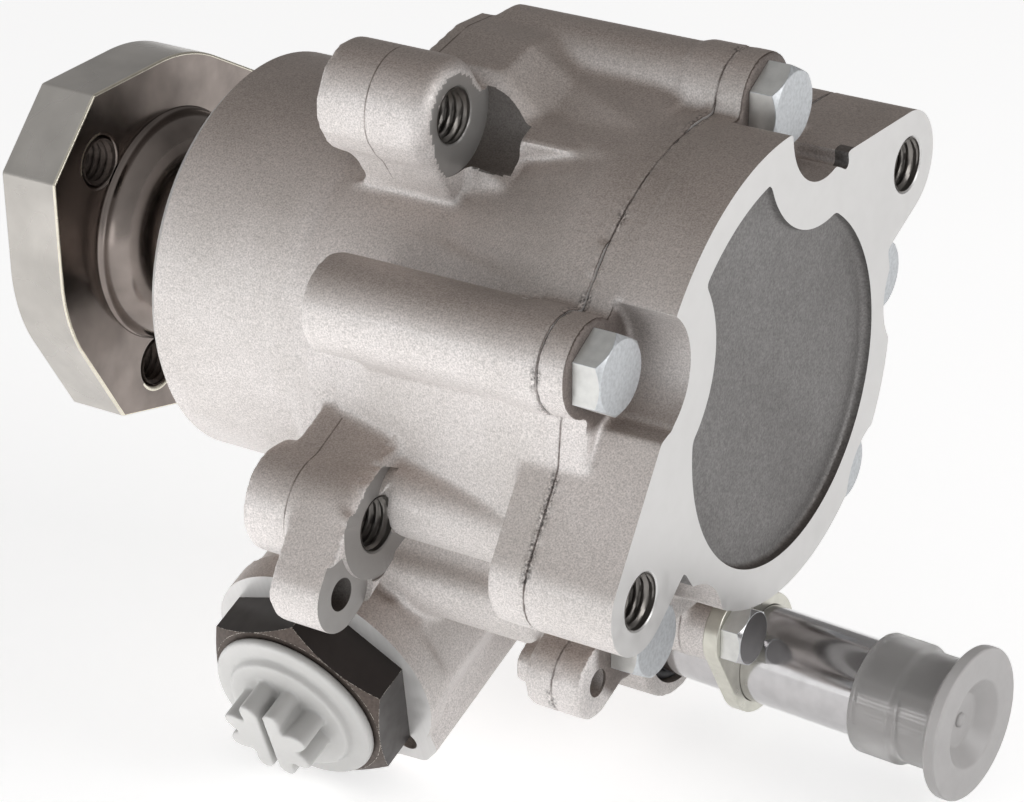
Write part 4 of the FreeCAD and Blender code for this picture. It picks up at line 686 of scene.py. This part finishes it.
def make_housing():
    """The housing: cast skin over the neck, drum, bosses, ears and valve body, then its machining."""
    out = VALVE_OUT

    def along(p):
        return (p - VALVE_FOOT).dot(out)

    def from_axis(p):
        q = p - VALVE_FOOT
        return (q - out * q.dot(out)).length

    # The bores are filled before the skin is made, and bored again afterwards.
    plugs = [bar("plug", -112.5, -14.5, 31.5, 0, 0), bar("plug", -39, -14, 5, 0, 0)]
    plugs += [bar("plug", -40, JOINT + 2, 5.0, y, z) for y, z in BOLTS]
    plugs += [bar("plug", -77, UPPER_EAR - 0.5, 6.2, *EAR_C), bar("plug", -75, LOWER_EAR - 0.5, 6.2, *EAR_B)]
    plugs += [bar("plug", -63, LOWER_EAR - 0.5, 4.2, *LUG_E), bar("plug", -26, JOINT + 2, 3.6, *LUG_F)]
    plugs.append(turned("plug", out, VALVE_FOOT, [(-12, 0), (-12, 13.2), (61, 13.2), (61, 0)]))
    plugs.append(turned("plug", (1, 0, 0), TUBE_FOOT, [(-33, 0), (-33, 12.2), (-18.5, 12.2), (-18.5, 0)]))
    plugs.append(bar("plug", -30, -10.5, 4, *SUCTION_BOLT))
    plugs.append(turned("plug", out, GALLERY, [(42, 0), (42, 3), (59.5, 3), (59.5, 0)]))
    plugs.append(turned("plug", (0, 0, 1), (-34, 11.5, 0), [(-60, 0), (-60, 7), (-20, 7), (-20, 0)]))
    plugs.append(band("plug", -74.2, -68.0, 34, 38.3, 126, 196))

    # Collars round the two upper bosses, and the wall between the left boss and the lower bar.
    for (y, z), radius in zip(BOLTS[:2], (8.5, 9.1)):
        plugs.append(bar("plug", FLANGE, JOINT, radius, y, z))
    plugs.append(wall("plug", -67, -24, [(-30, -17), (-39.8, -17), (-39.6, -4), (-38.6, 8), (-30, 9)],
                      [(-30, -17), (-48.0, -17), (-47.6, -4), (-46.8, 8), (-30, 9)]))
    # What stands out beside the left boss is cut back to the cone of the drum.
    above = band("trim", -53, FLANGE, 37.1, 62, 123, 159, inner_end=DRUM + 0.1)
    ahead = band("trim", -75, -52.9, 37.1, 62, 126.3, 159)
    trims = [cut(tool, [bar("core", -90, 0, RIDGE + 0.1, *BOLTS[1])]) for tool in (above, ahead)]
    trims.append(band("trim", -44.5, FLANGE, 39.7, 62, 110.5, 122, inner_end=DRUM + 0.1))
    # The web between the upper ear and the top boss falls steeply, then runs out at the flange.
    web = [(-68, (54.5, 54, 52.5, 41.5, 36.6), (80, 90, 101, 116, 122)),
           (-52, (54.0, 53.5, 52, 41.2, 36.6), (80, 90, 101, 116, 122)),
           (-43, (51.0, 48.0, 43.6, 40.8, 40.0), (80, 90, 101, 112, 121)),
           (FLANGE + 1, (48.5, 47.5, 46.7, 46.5, 46.3), (80, 90, 101, 112, 119))]
    outlines = [[around(MIDDLE, radius, angle) for radius, angle in
                 ((30, 80), *zip(radii, angles), (30, 120))] for place, radii, angles in web]
    for step in range(len(web) - 1):
        plugs.append(wall("plug", web[step][0], web[step + 1][0], *outlines[step:step + 2]))
    # Raised flash at the joint.
    for first, last in ((82, 97), (133, 150), (184, 197)):
        plugs.append(band("plug", JOINT - 1.3, JOINT + 0.3, 40, DRUM + 0.75, first, last))

    housing = casting("housing", 0.65, [
        (lambda p: near(p.x, JOINT, 0.1), (0.35, 0, 0)),
        (lambda p: p.x < NECK_FRONT + 0.1, (-2, 0, 0)),
        (lambda p: near(along(p), BOSS_FACE, 0.1) and from_axis(p) < 24, tuple(out * 1.5)),
        (lambda p: near(along(p), BLOCK_FACE, 0.1) and p.x > -70 and from_axis(p) < 28, tuple(out * 1.5)),
        (lambda p: near(p.x, SUCTION_FACE, 0.1) and away(p, SUCTION_BOLT) < 8, (1.5, 0, 0)),
    ], plugs, 4, [
        (at_joint, 0.12, 1.6),
        (lambda p: near(p.x, LOWER_EAR - 1.5, 0.9) and -16.5 < p.z < -7 and -54 < p.y < -34, 0.45, 1.1),
    ], trims)
    # Milled faces: the joint, the neck, the suction seat and the two faces of the valve body.
    tools = [block("tool", (JOINT, -80, -44), (JOINT + 10, 80, 80)),
             block("tool", (JOINT, -80, -60), (JOINT + 10, -9, 80)),
             block("tool", (JOINT, 27, -60), (JOINT + 10, 80, 80)),
             block("tool", (NECK_FRONT - 10, -80, -80), (NECK_FRONT, 80, 80)),
             block("tool", (SUCTION_FACE, -8, -60), (-5, 7.5, -44.5))]
    tools.append(turned("tool", out, VALVE_FOOT, [(BOSS_FACE, 0), (BOSS_FACE, 24), (64, 24), (64, 0)]))
    skim = prism("tool", VALVE_FOOT, VALVE_ACROSS, VALVE_UP, out,
                 [(0, -26), (26, -26), (26, 18.5), (0, 18.5)], BLOCK_FACE, 64)
    tools.append(cut(skim, [turned("core", out, VALVE_FOOT, [(50, 0), (50, 22.4), (70, 22.4), (70, 0)])]))
    # Spot faces and holes of the ears, the lugs and the cover bolts.
    tools.append(bar("tool", UPPER_EAR - 0.1, UPPER_EAR + 9, SPOT_RADIUS, *EAR_C))
    spot = bar("tool", LOWER_EAR - 0.3, LOWER_EAR + 1.5, 10.3, *EAR_B)
    tools.append(cut(spot, [bar("core", -60, -40, 6.9, *LOWER_BAR)]))
    lug = bar("tool", LOWER_EAR - 1.2, LOWER_EAR + 1.5, 7.8, *LUG_E)
    tools.append(cut(lug, [bar("core", -60, -40, 9.9, *EAR_B)]))
    tools.append(hole_with_chamfer(EAR_C, -80, UPPER_EAR - 0.1))
    tools.append(hole_with_chamfer(EAR_B, -80, LOWER_EAR - 0.3))
    tools.append(bar("tool", -70, LOWER_EAR + 2, 3.0, *LUG_E))
    tools.append(bar("tool", -30, JOINT + 1, 2.55, *LUG_F))
    tools += [bar("tool", -38.5, JOINT + 1, 4.0, y, z) for y, z in BOLTS]
    # The stepped bore for seal, bearing and cartridge, then the valve's, the gallery's and the tube's.
    tools.append(turned("tool", (1, 0, 0), (0, 0, 0), [
        (-112, 0), (-112, 23.5), (-105.75, 23.5), (-105.75, 24.4), (-104, 24.4), (-104, 23.5), (-90, 23.5),
        (-90, 20.5), (-85, 20.5), (-85, 17.5), (-78, 17.5), (-78, 9.6), (-57, 9.6), (-57, 30), (-16, 30),
        (-16, 0)]))
    tools.append(turned("tool", out, VALVE_FOOT, [(-10, 0), (-10, 8.5), (44.5, 8.5), (44.5, 11), (61, 11),
                                                  (61, 0)]))
    tools.append(turned("tool", out, GALLERY, [(47.5, 0), (47.5, 2.2), (60, 2.2), (60, 0)]))
    tools.append(turned("tool", TUBE_OUT, TUBE_FOOT, [(-31, 0), (-31, 9.1), (-21.3, 9.1), (-21.3, 11.3),
                                                      (-15, 11.3), (-15, 0)]))
    tools.append(bar("tool", -27, -11, 3.0, *SUCTION_BOLT))
    # The neck's chamfer and a small pit in the left boss.
    tools.append(turned("tool", (1, 0, 0), (0, 0, 0), [
        (NECK_FRONT - 2, 35.6), (NECK_FRONT - 2, 42), (NECK_FRONT + 1.7, 42), (NECK_FRONT + 1.7, 37.7),
        (NECK_FRONT - 0.1, 36)], 120))
    pit_turn = math.radians(71.6)
    pit_way = Vector((0, math.cos(pit_turn), math.sin(pit_turn)))
    tools.append(turned("tool", pit_way, (-26.3, *BOLTS[1]),
                        [(7.9, 0), (7.9, 0.4), (9.5, 0.75), (9.5, 0)], 7))
    cut(housing, tools)
    # Fewer faces where the skin is smooth.
    lighter = housing.modifiers.new("lighter", "DECIMATE")
    lighter.ratio = 0.6
    apply_modifiers(housing)

    def machined(c, n):
        if near(c.x, JOINT) and n.x > 0.9:
            return True
        if c.x < NECK_FRONT + 1.9:
            return True
        if near(along(c), BOSS_FACE) and n.dot(out) > 0.9:
            return True
        if near(along(c), BLOCK_FACE) and n.dot(out) > 0.9:
            return True
        if near(c.x, SUCTION_FACE) and n.x > 0.9 and away(c, SUCTION_BOLT) < 8:
            return True
        if c.x < JOINT and math.hypot(c.y, c.z) < 30.1:
            return True
        return from_axis(c) < 11.2 and along(c) > -11

    def spot_faced(c, n):
        if near(c.x, UPPER_EAR - 0.1) and away(c, EAR_C) < 10.7:
            return True
        if LOWER_EAR - 0.4 < c.x < LOWER_EAR + 1.6 and away(c, EAR_B) < 10.4 and n.x > 0.9:
            return True
        if away(c, LUG_E) < 7.9 and near(c.x, LOWER_EAR - 1.2) and n.x > 0.9:
            return True
        return c.x < LOWER_EAR + 1 and (away(c, EAR_C) < 5.4 or away(c, EAR_B) < 5.4)

    # Painted shade: the spot-face wall beside the upper ear, where the ear casts its shadow, and the insides
    # of the lug holes.
    def shaded(c, n):
        beyond = UPPER_EAR - 0.2 < c.x < UPPER_EAR + 9.2
        if beyond and near(away(c, EAR_C), SPOT_RADIUS, 0.12) and abs(n.x) < 0.2:
            return True
        return (away(c, LUG_E) < 3.1 and c.x > -68) or (away(c, LUG_F) < 2.7 and c.x > -31)

    paint(housing, CAST, [
        (PAINTED_SHADE_CAST, shaded),
        (SPOT, spot_faced),
        (MACHINED, machined),
    ])
    sharpen(housing)
    liners = ear_threads((EAR_C,), -74.5, UPPER_EAR - 0.2) + ear_threads((EAR_B,), -73, LOWER_EAR - 0.4)
    whole = join([housing, *[sharpen(liner, 40) for liner in liners]], "housing_casting")
    return stand_in(whole, "housing", "pump_body")


def everywhere(centre, normal):
    """The test that every broken edge passes."""
    return True


def dress(node, base, tests, bevel, edge=None, extras=(), body="pump_body", limit=28,
          edge_test=everywhere):
    """A copy of a rigid piece with its edges broken and a material for each of its faces."""
    mesh = nodes[node].data.copy()
    if "custom_normal" in mesh.attributes:
        mesh.attributes.remove(mesh.attributes["custom_normal"])
    work = bmesh.new()
    work.from_mesh(mesh)
    bmesh.ops.remove_doubles(work, verts=work.verts, dist=1e-6)
    bmesh.ops.dissolve_limit(work, angle_limit=math.radians(0.8), verts=work.verts, edges=work.edges)
    work.to_mesh(mesh)
    work.free()
    obj = new_object(node + "_shape", mesh)
    mesh.materials.clear()
    mesh.materials.append(base)
    mesh.materials.append(edge or base)
    mesh.polygons.foreach_set("material_index", [0] * len(mesh.polygons))
    sharpen(obj, limit)
    soft = obj.modifiers.new("edges", "BEVEL")
    soft.width = bevel * MM
    soft.segments = 2
    soft.limit_method = "ANGLE"
    soft.angle_limit = math.radians(limit)
    soft.material = 1
    soft.harden_normals = True
    apply_modifiers(obj)
    kept = paint(obj, base, tests, keep=1)
    if edge:
        obj.data.materials.append(edge)
        for index in kept:
            face = obj.data.polygons[index]
            if edge_test(face.center / MM, face.normal):
                face.material_index = len(obj.data.materials) - 1
    whole = join([obj, *extras], node + "_piece")
    return stand_in(whole, node, body)


def make_plug():
    """The milky plug: a flat disc, a raised middle and a fluted grip split by a slot."""
    foot, out = VALVE_FOOT, VALVE_OUT
    disc = turned("disc", out, foot, [
        (59.6, 0), (59.6, 7.0), (UNION_FACE + 0.05, 7.0), (UNION_FACE + 0.05, 15.9),
        (UNION_FACE + 0.4, 16.3), (UNION_FACE + 1.5, 16.3), (UNION_FACE + 1.9, 15.9),
        (UNION_FACE + 1.9, 12.9), (UNION_FACE + 3.4, 12.2), (UNION_FACE + 3.4, 0)], 96)
    teeth = ((68, 8.4), (112, 8.8), (157, 9.2), (197, 9.0), (249, 8.0), (293, 8.2), (338, 9.0), (18, 9.2))
    corners = []
    for step in range(120):
        turn = 3.0 * step
        reach = 5.6
        for angle, length in teeth:
            gap = abs((turn - angle + 180) % 360 - 180) / 21
            if gap < 1:
                reach = max(reach, 5.6 + (length - 5.6) * math.cos(gap * math.pi / 2) ** 0.9)
        corners.append((reach * math.cos(math.radians(turn)), reach * math.sin(math.radians(turn))))
    grip = prism("grip", foot, VALVE_ACROSS, VALVE_UP, out, corners, UNION_FACE + 2.5, UNION_FACE + 10.2)
    slot = prism("slot", foot, VALVE_ACROSS, VALVE_UP, out, [(-0.5, -12), (0.7, -12), (0.7, 12), (-0.5, 12)],
                 UNION_FACE + 4.4, UNION_FACE + 14)
    plug = join([disc, cut(grip, [slot])], "plug_shape")
    remesh(plug, 0.3, 7)
    plug.data.materials.clear()
    plug.data.materials.append(WHITE)
    plug.data.polygons.foreach_set("use_smooth", [True] * len(plug.data.polygons))
    return stand_in(plug, "port_plug", "pump_body")


def outer_edge(centre, normal):
    """The bright rubbed edge of the hub's flange."""
    return math.hypot(centre.y, centre.z) > 31.5 and centre.x > HUB_BACK - 0.6


def make_hub():
    """The pulley hub with a rounded collar and threads in its three holes."""
    liners = []
    for spot in HUB_HOLES:
        liner = thread(HUB_FRONT + 0.3, HUB_BACK - 0.05, 3.8, 4.47, 0.8, *spot)
        liner.data.materials.append(OXIDE_FACE)
        liners.append(sharpen(liner, 40))
    arc = [(HUB_BACK + 0.5 + 7.5 * math.sin(t * math.pi / 24), 14.5 + 7.7 * math.cos(t * math.pi / 24))
           for t in range(13)]
    swell = turned("swell", (1, 0, 0), (0, 0, 0), [
        (HUB_BACK - 0.5, 14), (HUB_BACK - 0.1, 22.8), (HUB_BACK + 0.3, 22.5), *arc,
        (HUB_BACK + 7.9, 14)], 96)
    swell.data.materials.append(HUB_DARK)
    liners.append(swell)
    return dress("pulley_hub", HUB_DARK, [
        (HUB_RIM, lambda c, n: c.x < HUB_BACK + 0.1 and math.hypot(c.y, c.z) > 28 and abs(n.x) < 0.5),
        (HUB_RIM, lambda c, n: c.x < HUB_FRONT + 0.5),
    ], 0.45, HUB_EDGE, liners, "shaft", edge_test=outer_edge)


def along_valve(c):
    """The place along the valve body, out from the shaft's plane."""
    return (c - VALVE_FOOT).dot(VALVE_OUT)


def along_tube(c):
    """The place along the suction tube."""
    return (c - TUBE_FOOT).dot(TUBE_OUT)


make_cover()
make_housing()
make_hub()
make_plug()
dress("pressure_union", OXIDE, [
    (OXIDE_FACE, lambda c, n: along_valve(c) > BOSS_FACE + 4 and n.dot(VALVE_OUT) > 0.2),
], 0.22, OXIDE_EDGE, limit=24)
dress("cover_bolts", ZINC, [(ZINC_TOP, lambda c, n: n.x > 0.3)], 0.18, ZINC_TOP)
dress("suction_bolt", ZINC, [(BRIGHT, lambda c, n: n.x > 0.3)], 0.18, ZINC_TOP)
dress("suction_flange", PLATE, [], 0.3, PLATE)
nub = turned("nub", TUBE_OUT, TUBE_FOOT, [(40.9, 0), (40.9, 1.5), (41.6, 1.3), (41.9, 0.8), (41.9, 0)], 24)
nub.data.materials.append(DISC)
dress("suction_cap", CLEAR, [(DISC, lambda c, n: along_tube(c) > 40.5)], 0.4, None, [nub])


# The camera looks as the photograph does.
CAMERA_PLACE, FOCAL_LENGTH = Vector((257.8, -488.0, 248.7)), 123.05
azimuth, elevation = math.radians(32.8), math.radians(24.7)
right = Vector((math.cos(azimuth), math.sin(azimuth), 0))
back = Vector((math.sin(azimuth) * math.cos(elevation), -math.cos(azimuth) * math.cos(elevation),
               math.sin(elevation)))
over = back.cross(right)
camera_data = bpy.data.cameras.new("camera")
camera = bpy.data.objects.new("camera", camera_data)
scene.collection.objects.link(camera)
facing = Matrix((right, over, back)).transposed().to_4x4()
camera.matrix_world = Matrix.Translation(CAMERA_PLACE * MM) @ facing
camera_data.sensor_width = 36
camera_data.lens = FOCAL_LENGTH
camera_data.clip_start = 0.01
scene.camera = camera


def seen_directly(tree):
    """One for rays from the camera, off gloss or through clear plastic, nought for light."""
    paths = tree.nodes.new("ShaderNodeLightPath")
    total = paths.outputs["Is Camera Ray"]
    for name in ("Is Glossy Ray", "Is Transmission Ray"):
        either = tree.nodes.new("ShaderNodeMath")
        either.operation = "MAXIMUM"
        tree.links.new(total, either.inputs[0])
        tree.links.new(paths.outputs[name], either.inputs[1])
        total = either.outputs[0]
    return total


# A pale floor, a soft room that is darker overhead, and two soft lamps.
floor_mesh = bpy.data.meshes.new("floor")
floor_low, floor_reach = cad_low.z - 0.0006, 4
floor_mesh.from_pydata([(x * floor_reach, y * floor_reach, floor_low) for x, y in
                        ((-1, -1), (1, -1), (1, 1), (-1, 1))], [], [(0, 1, 2, 3)])
floor = new_object("floor", floor_mesh)
ground = Look("pale_floor", (0.86, 0.86, 0.86), 0.0, 0.9)
ground.colour(ground.mix(ground.noise(60, 2), (0.87, 0.87, 0.87), (0.85, 0.85, 0.85)))
leftward = ground.node("ShaderNodeVectorMath", operation="DOT_PRODUCT")
leftward.inputs[1].default_value = (-0.55, -0.83, 0)
ground.link(ground.place, leftward.inputs[0])
table = ground.node("ShaderNodeMapRange", interpolation_type="SMOOTHSTEP", name="lit_table")
for socket, value in (("From Min", 0.0), ("From Max", 0.22), ("To Min", 0.05), ("To Max", 3.15)):
    table.inputs[socket].default_value = value
ground.link(leftward.outputs["Value"], table.inputs["Value"])
seen = seen_directly(ground.tree)
unseen = ground.math("MULTIPLY", ground.math("SUBTRACT", 1.0, seen), table.outputs[0])
glow = ground.math("ADD", ground.math("MULTIPLY", seen, 0.6), unseen)
ground.set("Emission Color", (1, 1, 1, 1))
ground.link(glow, ground.shader.inputs["Emission Strength"])
floor_mesh.materials.append(ground.material)

world = bpy.data.worlds.new("studio")
scene.world = world
world.use_nodes = True
tree = world.node_tree
sky = tree.nodes["Background"]
place = tree.nodes.new("ShaderNodeTexCoord")
front = tree.nodes.new("ShaderNodeVectorMath")
front.operation = "DOT_PRODUCT"
front.inputs[1].default_value = (right * -0.62 + back * 0.28 + Vector((0, 0, -0.45))).normalized()
half = tree.nodes.new("ShaderNodeMapRange")
half.inputs["From Min"].default_value = -1.0
shade = tree.nodes.new("ShaderNodeValToRGB")
for element, spot, colour in zip(shade.color_ramp.elements, (0.05, 0.85),
                                 ((0.35, 0.34, 0.335, 1), (0.90, 0.90, 0.90, 1))):
    element.position = spot
    element.color = colour
tree.links.new(place.outputs["Generated"], front.inputs[0])
tree.links.new(front.outputs["Value"], half.inputs["Value"])
tree.links.new(half.outputs[0], shade.inputs["Fac"])
tree.links.new(shade.outputs["Color"], sky.inputs["Color"])
sky.inputs["Strength"].default_value = 0.58

LOOKED_AT = Vector((-55, -5, -10))


def lamp(name, direction, distance, size, power):
    """A soft lamp that looks at the middle of the pump."""
    data = bpy.data.lights.new(name, "AREA")
    data.shape = "RECTANGLE"
    data.size, data.size_y = size
    data.energy = power
    obj = bpy.data.objects.new(name, data)
    scene.collection.objects.link(obj)
    way = Vector(direction).normalized()
    obj.location = LOOKED_AT * MM + way * distance
    obj.rotation_mode = "QUATERNION"
    obj.rotation_quaternion = (-way).to_track_quat("-Z", "Y")


lamp("key", right * -0.72 + back * 0.62 - Vector((0, 0, 0.20)), 0.8, (0.5, 0.3), 0.4)
lamp("rear", right * 0.8 + back * 0.45 + Vector((0, 0, 0.15)), 0.9, (0.5, 0.5), 2.9)
